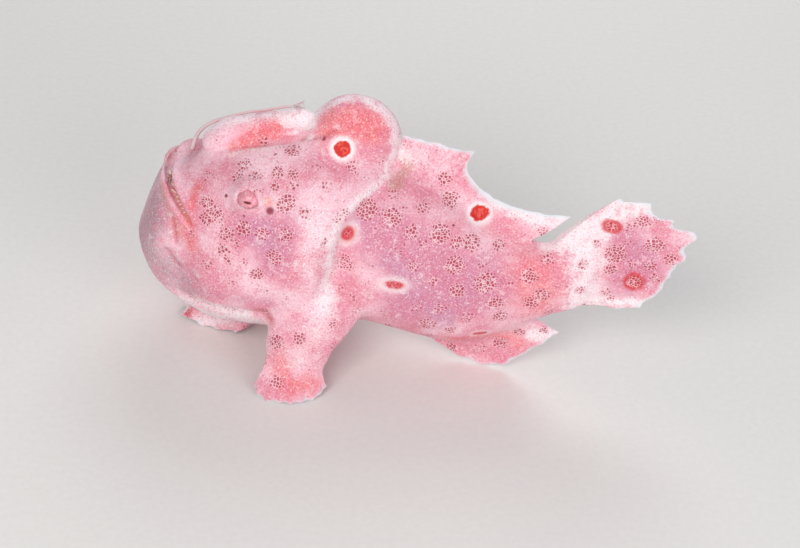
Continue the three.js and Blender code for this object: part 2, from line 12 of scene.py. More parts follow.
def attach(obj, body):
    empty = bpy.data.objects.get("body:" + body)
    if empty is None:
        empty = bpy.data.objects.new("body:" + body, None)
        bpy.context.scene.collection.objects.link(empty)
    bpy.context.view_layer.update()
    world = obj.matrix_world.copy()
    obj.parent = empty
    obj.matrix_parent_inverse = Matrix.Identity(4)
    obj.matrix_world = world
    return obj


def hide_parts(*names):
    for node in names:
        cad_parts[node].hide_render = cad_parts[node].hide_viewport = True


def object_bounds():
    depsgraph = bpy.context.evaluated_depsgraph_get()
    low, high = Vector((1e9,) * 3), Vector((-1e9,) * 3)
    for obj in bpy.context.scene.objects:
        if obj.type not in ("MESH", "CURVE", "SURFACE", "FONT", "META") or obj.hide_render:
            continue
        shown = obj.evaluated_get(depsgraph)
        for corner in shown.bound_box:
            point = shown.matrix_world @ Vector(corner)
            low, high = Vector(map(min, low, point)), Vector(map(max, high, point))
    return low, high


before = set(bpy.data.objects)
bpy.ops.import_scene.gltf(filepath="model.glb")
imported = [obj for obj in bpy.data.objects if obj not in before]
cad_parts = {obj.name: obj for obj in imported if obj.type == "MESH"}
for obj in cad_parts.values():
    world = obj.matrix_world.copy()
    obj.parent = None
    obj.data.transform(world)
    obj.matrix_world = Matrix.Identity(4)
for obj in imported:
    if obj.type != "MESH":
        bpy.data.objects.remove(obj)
cadLow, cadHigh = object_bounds()
mm = 0.001
weld = 0.001 * mm  # corners closer than this are one
jawFront = -32.9  # where the chin's tip lies in the fish's own measure
shift = cadLow.x / mm - jawFront  # from the fish's own measure to the frame
leftSide, rightSide = -1, 1
print("frame loaded, shift", round(shift, 2), "mm")


# --- helpers


def place(x, y, z):  # the fish's own millimetres to metres in the frame
    return Vector(((x + shift) * mm, y * mm, z * mm))


def readVertices(obj, what):
    flat = np.empty(len(obj.data.vertices) * 3)
    obj.data.vertices.foreach_get(what, flat)
    return flat.reshape(-1, 3)


def readPoints(obj):  # in the fish's own millimetres
    points = readVertices(obj, "co") / mm
    points[:, 0] -= shift
    return points


def writePoints(obj, points):
    moved = points + (shift, 0, 0)
    obj.data.vertices.foreach_set("co", (moved * mm).ravel())
    obj.data.update()


def selectOnly(*objects):
    bpy.ops.object.select_all(action="DESELECT")
    for obj in objects:
        obj.select_set(True)
    bpy.context.view_layer.objects.active = objects[0]


def joined(objects, name):
    selectOnly(*objects)
    bpy.ops.object.join()
    piece = bpy.context.object
    piece.name = name
    return piece


def weldCorners(outwards=False):  # on the piece that is active
    bpy.ops.object.mode_set(mode="EDIT")
    bpy.ops.mesh.select_all(action="SELECT")
    bpy.ops.mesh.remove_doubles(threshold=weld)
    if outwards:
        bpy.ops.mesh.normals_make_consistent(inside=False)
    bpy.ops.object.mode_set(mode="OBJECT")


def applyModifier(obj, kind, **settings):
    selectOnly(obj)
    modifier = obj.modifiers.new(kind.lower(), kind)
    for key, value in settings.items():
        setattr(modifier, key, value)
    bpy.ops.object.modifier_apply(modifier=modifier.name)


weightSteps = 20


def setWeights(obj, name, weights):  # rounded to steps, because a group is filled level by level
    group = obj.vertex_groups.new(name=name)
    levels = np.round(np.clip(weights, 0, 1) * weightSteps) / weightSteps
    for level in np.unique(levels):
        if level > 0:
            group.add(np.nonzero(levels == level)[0].tolist(), float(level), "REPLACE")
    return group


def setAttribute(obj, name, values):
    attribute = obj.data.attributes.new(name, "FLOAT", "POINT")
    attribute.data.foreach_set("value", values.astype(np.float32))


def smoothStep(low, high, value):
    share = np.clip((value - low) / (high - low), 0, 1)
    return share * share * (3 - 2 * share)


def distanceTo(points, line):  # from each point to a line of one or more named places
    line = np.atleast_2d(np.array(line, float))
    nearest = np.linalg.norm(points - line[0], axis=1)
    for start, end in zip(line[:-1], line[1:]):
        along = end - start
        share = np.clip((points - start) @ along / (along @ along), 0, 1)
        away = np.linalg.norm(points - start - share[:, None] * along, axis=1)
        nearest = np.minimum(nearest, away)
    return nearest


def onLeft(points):  # both sides folded onto the left one
    folded = points.copy()
    folded[:, 1] = -np.abs(folded[:, 1])
    return folded


curveSteps = 60  # between two given points, before they are spaced evenly


def curveThrough(points, count):  # evenly spaced points on a centripetal curve through the given ones
    nodes = np.array(points, float)
    nodes = np.vstack([2 * nodes[0] - nodes[1], nodes, 2 * nodes[-1] - nodes[-2]])
    path = []
    for p0, p1, p2, p3 in zip(nodes[:-3], nodes[1:-2], nodes[2:-1], nodes[3:]):
        d0, d1, d2 = (math.sqrt(np.linalg.norm(b - a)) for a, b in ((p0, p1), (p1, p2), (p2, p3)))
        m1 = ((p1 - p0) / d0 - (p2 - p0) / (d0 + d1) + (p2 - p1) / d1) * d1
        m2 = ((p2 - p1) / d1 - (p3 - p1) / (d1 + d2) + (p3 - p2) / d2) * d1
        t = np.linspace(0, 1, curveSteps)[:, None]
        path.append((2 * t**3 - 3 * t**2 + 1) * p1 + (t**3 - 2 * t**2 + t) * m1)
        path[-1] += (3 * t**2 - 2 * t**3) * p2 + (t**3 - t**2) * m2
    path = np.vstack(path)
    lengths = np.concatenate([[0], np.cumsum(np.linalg.norm(np.diff(path, axis=0), axis=1))])
    evenly = np.linspace(0, lengths[-1], count)
    return np.stack([np.interp(evenly, lengths, path[:, axis]) for axis in range(3)], axis=1)


# --- camera, light and floor

shot = {
    "elevation": 38,  # degrees above the horizon
    "roll": 7,  # degrees, the tail side lower
    "distance": 400,  # mm
    "across": 144,  # mm seen at that distance
    "right": 14.94,  # mm from the fish's own zero to the middle of the picture
    "up": 9.72,
    "clip": (0.01, 10),  # m, the nearest and farthest that it sees
}


def makeCamera():
    tilt, roll = math.radians(shot["elevation"]), math.radians(shot["roll"])
    back = Vector((0, -math.cos(tilt), math.sin(tilt)))
    level = Vector((1, 0, 0))
    upright = back.cross(level)
    right = level * math.cos(roll) + upright * math.sin(roll)
    up = upright * math.cos(roll) - level * math.sin(roll)
    location = place(0, 0, 0) + (right * shot["right"] + up * shot["up"] + back * shot["distance"]) * mm
    turn = Matrix((right, up, back)).transposed()
    bpy.ops.object.camera_add(location=location, rotation=turn.to_euler())
    camera = bpy.context.object
    camera.data.lens = camera.data.sensor_width * shot["distance"] / shot["across"]
    camera.data.clip_start, camera.data.clip_end = shot["clip"]
    bpy.context.scene.camera = camera


lights = {
    "key": {"place": (-130, -380, 330), "size": 240, "watts": 1.27, "colour": (1, 0.98, 0.97)},
    "fill": {"place": (260, -330, 170), "size": 300, "watts": 0.7, "colour": (0.96, 0.97, 1)},
    "back": {"place": (40, 330, 300), "size": 300, "watts": 0.75, "colour": (0.96, 0.98, 1)},
}
lightAim = (10, 0, 20)
room = {"colour": (0.9, 0.93, 1, 1), "strength": 0.3}
floorSize = 4  # m


def makeLights():
    for name, light in lights.items():
        location = place(*light["place"])
        aim = (place(*lightAim) - location).to_track_quat("-Z", "Y").to_euler()
        bpy.ops.object.light_add(type="AREA", location=location, rotation=aim)
        lamp = bpy.context.object
        lamp.name = name + "Light"
        lamp.data.size = light["size"] * mm
        lamp.data.energy = light["watts"]
        lamp.data.color = light["colour"]
    world = bpy.data.worlds.new("studio")
    world.use_nodes = True
    background = world.node_tree.nodes["Background"]
    background.inputs["Color"].default_value = room["colour"]
    background.inputs["Strength"].default_value = room["strength"]
    bpy.context.scene.world = world
    bpy.context.scene.view_settings.view_transform = "Standard"


def makeFloor(material):
    bpy.ops.mesh.primitive_plane_add(size=floorSize, location=(0, 0, 0))
    floor = bpy.context.object
    floor.name = "floor"
    floor.data.materials.append(material)


# --- the fins, as fine sheets with rays raised on both faces

# Each fin: its root line inside the body, its margin, how far the sheet bows at its first and last ray, half
# its thickness at the root, in the web and added on a ray, all in mm, and how deep its margin is notched
# between rays and torn, as shares of its length. A fin on both sides is given for the right one.
fins = {
    "dorsal": {
        "node": "dorsal_fin",
        "sides": [rightSide],
        "rays": 13,
        "root": [[9.4, -0.6, 36.6], [16, -1.7, 35], [23, -3, 31.6], [31, -4.6, 27]],
        "margin": [
            [11.1, 1, 43.8], [16, 0.5, 43.5], [21, -0.3, 43.2], [23.8, -0.9, 43.2], [22.9, -1.5, 40.6],
            [24.8, -2.2, 37.9], [27.9, -2.9, 36], [31.9, -3.4, 34.9], [37, -3.6, 34.6], [42, -3.9, 35],
        ],
        "bow": [[-0.9, 0.4, 0.5], [0.5, 0.1, -1.1]],
        "rootHalf": 2.1,
        "webHalf": 0.27,
        "rayHalf": 0.3,
        "notch": 0.02,
        "ragged": 0.02,
    },
    "anal": {
        "node": "anal_fin",
        "sides": [rightSide],
        "rays": 9,
        "root": [[13.6, -1.9, 8.4], [19.5, -2.8, 8], [27, -4, 9], [35.6, -5.1, 13.6]],
        "margin": [
            [14.4, -2, 5.9], [17.4, -2.5, 4.6], [20.4, -3, 3.1], [23.8, -3.6, 1.2], [28, -4.2, -0.2],
            [32.8, -4.8, -0.15], [37.2, -5.2, 3.4], [43.2, -5.6, 10.6],
        ],
        "bow": [[0.3, 0, -0.2], [0.8, 0, -0.8]],
        "rootHalf": 2.2,
        "webHalf": 0.3,
        "rayHalf": 0.3,
        "notch": 0.05,
        "ragged": 0.03,
    },
    "caudal": {
        "node": "tail_fin",
        "sides": [rightSide],
        "rays": 9,
        "root": [[37.2, -5.2, 27.4], [42.6, -5.9, 23.2], [44, -6, 17.8]],
        "margin": [
            [48.9, -6.6, 42.1], [51.4, -6.6, 42.2], [55.8, -7.1, 40.3], [60.5, -7.7, 38],
            [62, -7.8, 35.6], [61.9, -7.7, 32], [60.6, -7.5, 27.6], [59.4, -7.2, 22.9],
            [56.1, -6.9, 18.9], [51, -6.5, 17.5],
        ],
        "bow": [[-0.3, 0.1, 0.3], [0, 0.7, -0.2]],
        "rootHalf": 1.7,
        "webHalf": 0.27,
        "rayHalf": 0.34,
        "notch": 0.05,
        "ragged": 0.045,
    },
    "hand": {
        "node": "hand_fin_",
        "sides": [leftSide, rightSide],
        "rays": 9,
        "root": [[-7.6, 16.2, 6.2], [-2.8, 16.7, 6], [1.9, 15.6, 6.4]],
        "margin": [
            [-9.4, 18.6, 1.4], [-8, 20.4, -0.1], [-3, 21.5, -0.25], [1.8, 19.2, -0.15],
            [3.6, 16.4, 1.2],
        ],
        "bow": [[0, 1.2, -0.6], [0, 1.2, -0.6]],
        "rootHalf": 1.7,
        "webHalf": 0.4,
        "rayHalf": 0.4,
        "notch": 0.06,
        "ragged": 0.04,
    },
    "pelvic": {
        "node": "pelvic_fin_",
        "sides": [leftSide, rightSide],
        "rays": 5,
        "root": [[-15.2, 1.3, 7], [-12.2, 2.4, 5.4], [-10.4, 3.8, 4.4]],
        "margin": [
            [-24.8, 1, 3.8], [-25.6, 1.6, 1.2], [-23.4, 2.6, -0.2], [-19, 3.7, -0.25], [-14, 4.8, 0.9],
        ],
        "bow": [[0, 0.6, -0.7], [0, 0.6, -0.7]],
        "rootHalf": 1.7,
        "webHalf": 0.36,
        "rayHalf": 0.55,
        "notch": 0.14,
        "ragged": 0.04,
    },
}
# What all fins share. Widths across the rays are shares of the gap between two, and places along a ray run
# from 0 at the root to 1 at the margin.
finForm = {
    "columnsPerRay": 12,
    "rows": 40,
    "seed": 7,
    "rayWidth": 0.17,
    "fork": 0.15,  # how far a ray's branches part
    "forkFrom": (0.5, 0.95),  # where they part
    "stiff": 0.3,  # how wide the margin is held out round a ray
    "tears": 5,  # for each ray
    "fleshFade": 2.2,  # how fast the thick root thins out
    "rayFade": 0.55,  # how much lower a ray is at the margin
    "edgeFade": 0.25,  # how much thinner the very edge is
    "edgeFrom": 0.9,
}


def rayRidge(phase, out):  # 1 on a ray, 0 on the web between two; rays fork near the margin
    offset = np.abs(phase - np.round(phase))
    fork = finForm["fork"] * smoothStep(*finForm["forkFrom"], out)
    return np.exp(-(((offset - fork) / finForm["rayWidth"]) ** 2))


def finSheet(fin, side, draw):
    rays = fin["rays"]
    tears = finForm["tears"]
    columns = (rays - 1) * finForm["columnsPerRay"]
    mirror = np.array([1, side if len(fin["sides"]) > 1 else 1, 1])
    rootLine = curveThrough(np.array(fin["root"]) * mirror, columns + 1)
    marginLine = curveThrough(np.array(fin["margin"]) * mirror, columns + 1)
    bpy.ops.object.select_all(action="DESELECT")
    bpy.ops.mesh.primitive_grid_add(x_subdivisions=columns, y_subdivisions=finForm["rows"], size=1)
    sheet = bpy.context.object
    across, out = (readVertices(sheet, "co")[:, :2] + 0.5).T
    column = np.round(across * columns).astype(int)
    phase = across * (rays - 1)
    ridge = rayRidge(phase, out)
    lengths = np.array([1 + fin["ragged"] * draw.uniform(-1, 1) for _ in range(rays)])
    torn = np.array([draw.uniform(-0.5, 1) for _ in range(tears * rays)])
    rayLength = np.interp(phase, np.arange(rays), lengths)
    rayLength -= fin["ragged"] * np.interp(phase * tears, np.arange(tears * rays), torn)
    onRay = np.exp(-((np.abs(phase - np.round(phase)) / finForm["stiff"]) ** 2))
    reach = out * (1 - fin["notch"] * (1 - onRay)) * rayLength
    start, end = rootLine[column], marginLine[column]
    points = start + (end - start) * reach[:, None]
    bow = np.array(fin["bow"][0]) + np.subtract(fin["bow"][1], fin["bow"][0]) * across[:, None]
    points += bow * mirror * (4 * reach * (1 - reach))[:, None]
    writePoints(sheet, points)
    flesh = (fin["rootHalf"] - fin["webHalf"]) * (1 - out) ** finForm["fleshFade"]
    half = fin["webHalf"] + flesh + fin["rayHalf"] * ridge * (1 - finForm["rayFade"] * out)
    half *= 1 - finForm["edgeFade"] * smoothStep(finForm["edgeFrom"], 1, out)
    group = setWeights(sheet, "flesh", half / half.max())
    applyModifier(
        sheet,
        "SOLIDIFY",
        thickness=2 * half.max() * mm,
        offset=0,
        vertex_group=group.name,
        thickness_vertex_group=0,
        use_quality_normals=True,
    )
    length = np.linalg.norm(end - start, axis=1)
    return {"object": sheet, "points": points, "out": out, "rim": (1 - out) * length}


# --- one skin over every node of flesh

skinForm = {
    "swell": 0.2,  # mm, closes the cuts between the nodes
    "grain": 0.26,  # mm, the size of the skin's faces before they are thinned
    "passes": 110,  # of smoothing
    "faces": 192000,
    "lumps": 0.16,  # mm, how uneven the skin is
    "lumpWidth": 3.4,  # mm
    "warts": 0.09,  # mm, the height of the fine unevenness
    "wartWidth": 1.1,  # mm
    "finFrom": (0.12, 0.4),  # where on a fin, from root to margin, its sheet stops being body
}
fleshNodes = ["head", "lower_jaw", "trunk", "tail_stalk", "third_dorsal_spine", "second_dorsal_spine"]
fleshNodes += ["arm_left", "arm_right"]

mouth = {
    "gape": [[-31.4, 36.8], [-28.2, 33.2], [-25.1, 30.9], [-22.4, 28.4]],  # x and z
    "half": 0.42,  # mm, half the width of the crack
    "depth": 0.8,
    "lip": 0.3,  # mm, how far the lips stand out
    "lipWay": 1.25,  # mm, from the crack to the lips' crest
    "lipWidth": 0.5,
    "corner": (-21.9, -23.4),  # x, where the crack runs out and where it is whole
}
eye = {
    "centre": [-12.6, -11.1, 35.1],
    "radius": 2.1,
    "axis": [-0.12, -0.95, 0.28],
    "lid": 0.12,  # mm, how far the rim stands out
    "rimWay": 2.7,  # mm, from the eye's centre to the rim
    "rimWidth": 0.45,
    "gap": 0.04,  # mm, between the ball and the skin round it
    "droop": 28,  # degrees, how far the upper lid comes down over the ball
    "rise": 9,  # degrees, how far the lower lid comes up
}

# Folds of the skin on the left side: a line, how far it reaches and how deep it is cut in mm (below 0, it
# is raised).
folds = [
    ([[10.6, -4, 37], [6.3, -10, 34.4], [4, -11.9, 30], [3.6, -12.4, 24]], 1.2, 0.35),  # behind the head
    ([[9.1, -3.9, 38.1], [4.8, -9.5, 35.7], [2, -12.4, 31], [1.6, -13, 24.8]], 1.1, -0.25),  # the head's edge
    ([[-25.7, -9.5, 27.9], [-25, -10.5, 25.5], [-24.7, -10.9, 23.6]], 0.45, 0.35),  # jaw
    ([[-26.4, -10.8, 22], [-23.9, -11.6, 19.3], [-20.9, -13.2, 18.4]], 0.5, 0.3),  # chin
    ([[-24.4, -10.2, 12.6], [-18, -13.2, 12.4], [-12.8, -14.6, 13], [-9, -15, 13.6]], 1.2, 0.45),  # throat
    ([[-13.4, -13.2, 33.2], [-10.5, -13.7, 33.3], [-8.8, -14.4, 31.7], [-7.9, -15.2, 29.1]], 0.6, 0.3),
    ([[-15.5, -2.6, 39.3], [-10, -3, 41.6], [-5.2, -2.6, 42.6]], 0.7, 0.4),  # beside the second spine
    ([[-5.2, -2.4, 42.2], [-2, -4.1, 44.5], [-0.4, -4.1, 45.9]], 0.5, 0.35),  # before the third spine
]
# Places where the skin is raised: centre, reach in mm and how far (below 0, lowered).
swellings = [
    ([-26.6, 0, 34], 3.4, -1),
    ([-17.6, 0, 41], 2.6, 0.9),
    ([-20.8, -1.2, 38.4], 2.8, 1.3),
]


def mergedCopy(nodeNames):
    copies = []
    for nodeName in nodeNames:
        copy = bpy.data.objects.new(nodeName + "Flesh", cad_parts[nodeName].data.copy())
        bpy.context.collection.objects.link(copy)
        copies.append(copy)
    merged = joined(copies, "flesh")
    weldCorners()
    return merged


def gapeDistance(points):  # in side view, from the line of the mouth
    side = points.copy()
    side[:, 1] = 0
    return distanceTo(side, [[x, 0, z] for x, z in mouth["gape"]])


def makeFinTree(sheets):
    tree = KDTree(sum(len(sheet["points"]) for sheet in sheets))
    facts = np.vstack([np.stack([sheet["out"], sheet["rim"]], axis=1) for sheet in sheets])
    for index, point in enumerate(np.vstack([sheet["points"] for sheet in sheets])):
        tree.insert(point, index)
    tree.balance()
    return tree, facts


def finPlaces(points, finTree):  # for each point how far the nearest fin is, and where on it that is
    tree, facts = finTree
    found = [tree.find(point) for point in points]
    return np.array([distance for _, _, distance in found]), facts[[index for _, index, _ in found]]


def finShare(points, finTree):  # 1 on the free part of a fin, 0 on the body
    distance, facts = finPlaces(points, finTree)
    return smoothStep(2.2, 0.9, distance) * smoothStep(*skinForm["finFrom"], facts[:, 0])


secondSpineLine = [[-20, 0, 38.6], [-11, 0, 43.1], [-4.5, 0, 45.6]]
headFront = -20  # x, the mouth lies before it


def smoothWeights(points, finTree):  # 1 on plain flesh, less where a form has to keep its edge
    weights = 1 - 0.97 * finShare(points, finTree)
    weights *= 1 - 0.9 * smoothStep(2.6, 1.2, gapeDistance(points)) * (points[:, 0] < headFront)
    weights *= 1 - 0.75 * smoothStep(4, 2.6, distanceTo(points, secondSpineLine))
    weights *= 1 - 0.5 * smoothStep(41, 44, points[:, 2]) * smoothStep(9, 7, points[:, 0])  # the third spine
    weights *= 1 - 0.9 * smoothStep(3.4, 2.4, distanceTo(onLeft(points), eye["centre"]))
    return weights


def makeSkin(finTree, sheets):
    flesh = mergedCopy(fleshNodes)
    applyModifier(flesh, "DISPLACE", strength=skinForm["swell"] * mm, mid_level=0)
    skin = joined([flesh, *[sheet["object"] for sheet in sheets]], "skin")
    skin.data.name = "skin"
    skin.vertex_groups.clear()
    applyModifier(skin, "REMESH", mode="VOXEL", voxel_size=skinForm["grain"] * mm)
    print("skin remeshed,", len(skin.data.polygons), "faces")
    setWeights(skin, "even", smoothWeights(readPoints(skin), finTree))
    applyModifier(skin, "SMOOTH", factor=0.75, iterations=skinForm["passes"], vertex_group="even")
    applyModifier(skin, "SMOOTH", factor=0.5, iterations=3)
    applyModifier(skin, "DISPLACE", strength=-skinForm["swell"] * mm, mid_level=0)
    for name in ("lump", "wart"):
        clouds = bpy.data.textures.new(name + "s", "CLOUDS")
        clouds.noise_scale = skinForm[name + "Width"] * mm
        clouds.noise_depth = 2
        applyModifier(
            skin,
            "DISPLACE",
            texture=clouds,
            texture_coords="LOCAL",
            strength=skinForm[name + "s"] * mm,
            mid_level=0.5,
        )
    sculptSkin(skin)
    share = skinForm["faces"] / (2 * len(skin.data.polygons))
    applyModifier(skin, "DECIMATE", ratio=share, use_collapse_triangulate=True)
    skin.vertex_groups.clear()
    selectOnly(skin)
    bpy.ops.object.shade_smooth()
    print("skin shaped,", len(skin.data.polygons), "faces")
    return skin


def drawLids(points):  # the skin is kept off the ball and turned down and up over it, as lids
    toEye = onLeft(points) - eye["centre"]
    away = np.linalg.norm(toEye, axis=1)
    lid = eye["radius"] + eye["gap"]
    within = away < lid + 0.4
    toEye[within] *= (lid / np.maximum(away, 0.1))[within, None]
    turn = math.radians(eye["droop"]) * smoothStep(-0.5, 1.4, toEye[:, 2])
    turn -= math.radians(eye["rise"]) * smoothStep(0.5, -1.4, toEye[:, 2])
    turn *= smoothStep(4.2, 2.3, away)
    turned = toEye.copy()
    turned[:, 1] = toEye[:, 1] * np.cos(turn) - toEye[:, 2] * np.sin(turn)
    turned[:, 2] = toEye[:, 1] * np.sin(turn) + toEye[:, 2] * np.cos(turn)
    turned += eye["centre"]
    turned[:, 1] *= -np.sign(points[:, 1])
    near = away < 4.3
    points[near] = turned[near]


def sculptSkin(skin):
    points, normals = readPoints(skin), readVertices(skin, "normal")
    folded = onLeft(points)
    depth = np.zeros(len(points))
    for line, reach, cut in folds:
        depth += cut * np.exp(-((distanceTo(folded, line) / reach) ** 2))
    for centre, reach, height in swellings:
        depth -= height * np.exp(-((distanceTo(points, centre) / reach) ** 2))
    gape = gapeDistance(points)
    atMouth = smoothStep(*mouth["corner"], points[:, 0])
    depth += mouth["depth"] * smoothStep(mouth["half"] + 0.25, mouth["half"] * 0.5, gape) * atMouth
    depth -= mouth["lip"] * np.exp(-(((gape - mouth["lipWay"]) / mouth["lipWidth"]) ** 2)) * atMouth
    away = distanceTo(folded, eye["centre"])
    depth -= eye["lid"] * np.exp(-(((away - eye["rimWay"]) / eye["rimWidth"]) ** 2))
    points -= normals * depth[:, None]
    drawLids(points)
    points[:, 2] = np.maximum(points[:, 2], 0)  # nothing below the floor
    writePoints(skin, points)


# --- the marks on the skin, kept as attributes that the material reads

# Zones of colour on the left side: each a line of places, how far it reaches in mm, and how strong it is.
# Above 1 it is full over some width.
zones = {
    "pale": [
        (
            [
                [10.4, -1.8, 42.1], [9.1, -3.9, 38.1], [4.8, -9.5, 35.7],
                [2.6, -11.6, 33.8], [1.8, -12.9, 29.9],
            ],
            1.2,
            0.85,
        ),
        ([[1.8, -12.9, 29.9], [1.8, -13.2, 24.8], [1.6, -14.9, 18.7]], 1.5, 0.75),
        ([[-1.9, -13.5, 34.1], [-0.5, -14.9, 30.2], [-1.6, -16, 25.7]], 3.6, 0.5),
        ([[1.6, -14.9, 18.7], [1, -16, 13], [-2, -18.4, 8]], 3.6, 0.5),
        ([[8, -13, 15], [13, -12.6, 12.6]], 3, 0.4),
        ([[47, -6.8, 30], [47.4, -6.8, 20]], 2.6, 0.55),
        ([[46, -6.5, 18.4], [56, -7, 20]], 1.2, 0.9),
        ([[25.4, -3.4, 40], [27.6, -4, 37.2]], 1.6, 1.8),
        ([[28.6, -4, 36.4], [31.6, -4.5, 34.8], [35.1, -4.9, 34], [41.4, -5.7, 34.6]], 2.1, 2.2),
        ([[38, -5.6, 28.6], [42, -6, 32.4]], 1.6, 1.1),
        ([[38, -5.6, 9], [42.6, -5.8, 10.2]], 1.8, 1),
        ([[-7.4, -1.8, 44.6], [-4.4, -1.4, 45.6]], 1.5, 1.4),
        ([[-17, -3.8, 38.2], [-10.5, -3.8, 41.2], [-5, -3, 42.4], [-3.4, -3, 43.6]], 0.7, 0.7),
        ([[42.6, -6.5, 33], [44, -7, 27.6], [44.2, -7, 19]], 2.5, 1.2),
        ([[46, -6.5, 34], [49, -6.5, 39.6], [53, -7, 40.4]], 2.4, 1.2),
        # painted light: this line makes the throat's shaded underside paler
        ([[-22, -9, 10], [-18.3, -10, 8], [-13.7, -12.7, 10.5], [-8, -14, 9]], 3.4, 0.9),
        ([[-20, -2.6, 0.6], [-16, -4, 4]], 2.6, 1),
        ([[-20, -12.8, 12.8], [-15.4, -14.1, 12.8], [-12.8, -14.3, 12.4]], 1.8, 0.9),
        ([[14, -1.4, 42.8], [23.2, -3, 42.6], [25, -3.4, 40.6]], 1.7, 1.3),
        ([[-15.6, -12.6, 36.2], [-12.6, -13.4, 34.2], [-9.6, -12.6, 36.3]], 0.55, 0.5),
        ([[-21.5, -5.4, 36.6], [-19.6, -6.4, 37]], 0.4, 1),
    ],
    # painted shade: cool grey laid where the skin turns away from the light, on the jaw's left face and along
    # the top edge of the forehead and of the dorsal fin
    "greyTurnedAwayShade": [
        ([[-32.2, -4, 17], [-31.6, -6, 24], [-30.6, -6, 28]], 5.5, 0.7),
        ([[-29.5, -7.5, 25], [-29, -8.5, 21], [-25.9, -11, 17.8], [-22.7, -12, 16.2]], 4.6, 0.75),
        ([[-31, 0, 28], [-28, 0, 32], [-22, 0, 36.5], [-18, 0, 38.6]], 2.4, 0.45),
        ([[16, -0.6, 44.4], [24, -1, 43.2]], 0.8, 0.7),
    ],
    "mauve": [
        ([[-10.6, -14.6, 31.4], [-8.8, -15, 29.2]], 2.8, 0.75),
        ([[-6.5, -12, 36.6], [-4, -13.2, 34.6]], 2.2, 0.5),
        ([[12.6, -12.5, 25.9], [17.6, -12.8, 19.4], [22, -12, 15]], 3.6, 0.8),
        # painted shade: this line darkens the crease behind the head's edge
        ([[6.1, -9.2, 33.6], [5.6, -11, 31.4]], 2, 0.8),
        ([[27, -10, 26], [25, -11, 20]], 3, 0.5),
        ([[52, -7, 30], [55.6, -7.2, 32.8], [56.6, -7.2, 29]], 3.2, 0.5),
        ([[-17, -14, 17], [-8, -15.5, 17.4]], 2.2, 0.6),
    ],
    "salmon": [
        ([[-16, -2.2, 38.8], [-13.4, -2, 41], [-9.4, -1.7, 43.6]], 2.3, 1),
        ([[-0.8, -3.2, 46.2], [2.6, -3, 47.6], [6.3, -3.2, 46.8]], 3.2, 1.1),
        ([[-21.9, -7.9, 33.6], [-22.4, -9.4, 31]], 1.5, 0.9),
        ([[-22.5, -10.6, 28.3], [-21.9, -12, 24.6]], 1.7, 0.85),
        ([[-5, -19, 6.4], [-2.8, -20.6, 3.4], [1, -19.4, 3.4]], 2.4, 0.8),
        ([[2, -15.6, 14], [-1.7, -18.2, 9.8]], 3, 0.45),
        ([[35.8, -9, 25.6], [37, -9.2, 20.6]], 5.4, 0.7),
        ([[24, -10, 8.6], [31, -7, 9], [36, -6, 7]], 2.8, 0.7),
        ([[22, -5.4, 33.4], [30, -5.6, 30]], 3, 0.35),
    ],
    # partly painted shade: deep red laid along the folds of the jaw, chin and throat, round the eye, before
    # the third spine, behind the head and in the armpit; the red of the pelvic fin's toe is the skin's own
    "roseAndCreaseShade": [
        ([[-15.6, -12.6, 35.2], [-9, -13.2, 34.7]], 1, 0.5),
        ([[-24.4, -10.6, 13.6], [-18, -13.8, 14.2], [-12.8, -15, 14.8], [-9, -15.2, 14]], 0.8, 0.5),
        ([[-9, -15, 14.4], [-7.6, -15, 13]], 1.5, 0.8),
        ([[-5.2, -2.4, 42.2], [-2, -4.1, 44.5], [-0.4, -4.1, 45.9]], 0.7, 0.7),
        ([[-25.7, -9.5, 27.9], [-25, -10.5, 25.5], [-24.7, -10.9, 23.6]], 0.45, 0.9),
        ([[-26.4, -10.8, 22], [-23.9, -11.6, 19.3]], 0.9, 0.8),
        ([[-23.9, -11.6, 19.3], [-20.9, -13.2, 18.4]], 0.5, 0.6),
        ([[7, -12.2, 25], [4, -13, 19]], 2.2, 0.4),
        ([[35, -9.6, 20], [40, -8.8, 20]], 2.6, 0.4),
        ([[-23.4, -2, 1.8]], 1.6, 1.2),
    ],
    "dusk": [
        ([[9, -10.4, 31], [20, -11, 25], [29, -10, 22], [16, -12, 18]], 6, 0.9),
        ([[-12, -14.6, 31], [-7, -14.6, 31.5], [-8, -15.6, 27]], 3.6, 0.9),
        ([[50, -6.8, 33], [55, -7, 28], [52, -6.8, 24]], 4.4, 0.75),
    ],
    "warm": [
        ([[-30, -5, 32], [-26.6, -7.4, 30], [-24.4, -10, 26]], 1.5, 0.8),
        ([[-9.6, -12.6, 35.8]], 1.2, 0.9),
    ],
    "tan": [
        ([[11.4, -0.3, 41.1], [12.7, -1.4, 39], [11, -4.8, 37]], 1.6, 0.9),
        ([[49.5, -6.5, 33]], 0.7, 0.8),
    ],
}

# Round red marks: centre, core radii, width of the white ring in mm, and how white it is.
ocelli = [
    ([1.6, -5.3, 43.4], [1.5, 1.5, 1.5], 0.62, 0.95),
    ([25.9, -4.3, 32.8], [1.75, 2, 1.35], 0.5, 0.85),
]
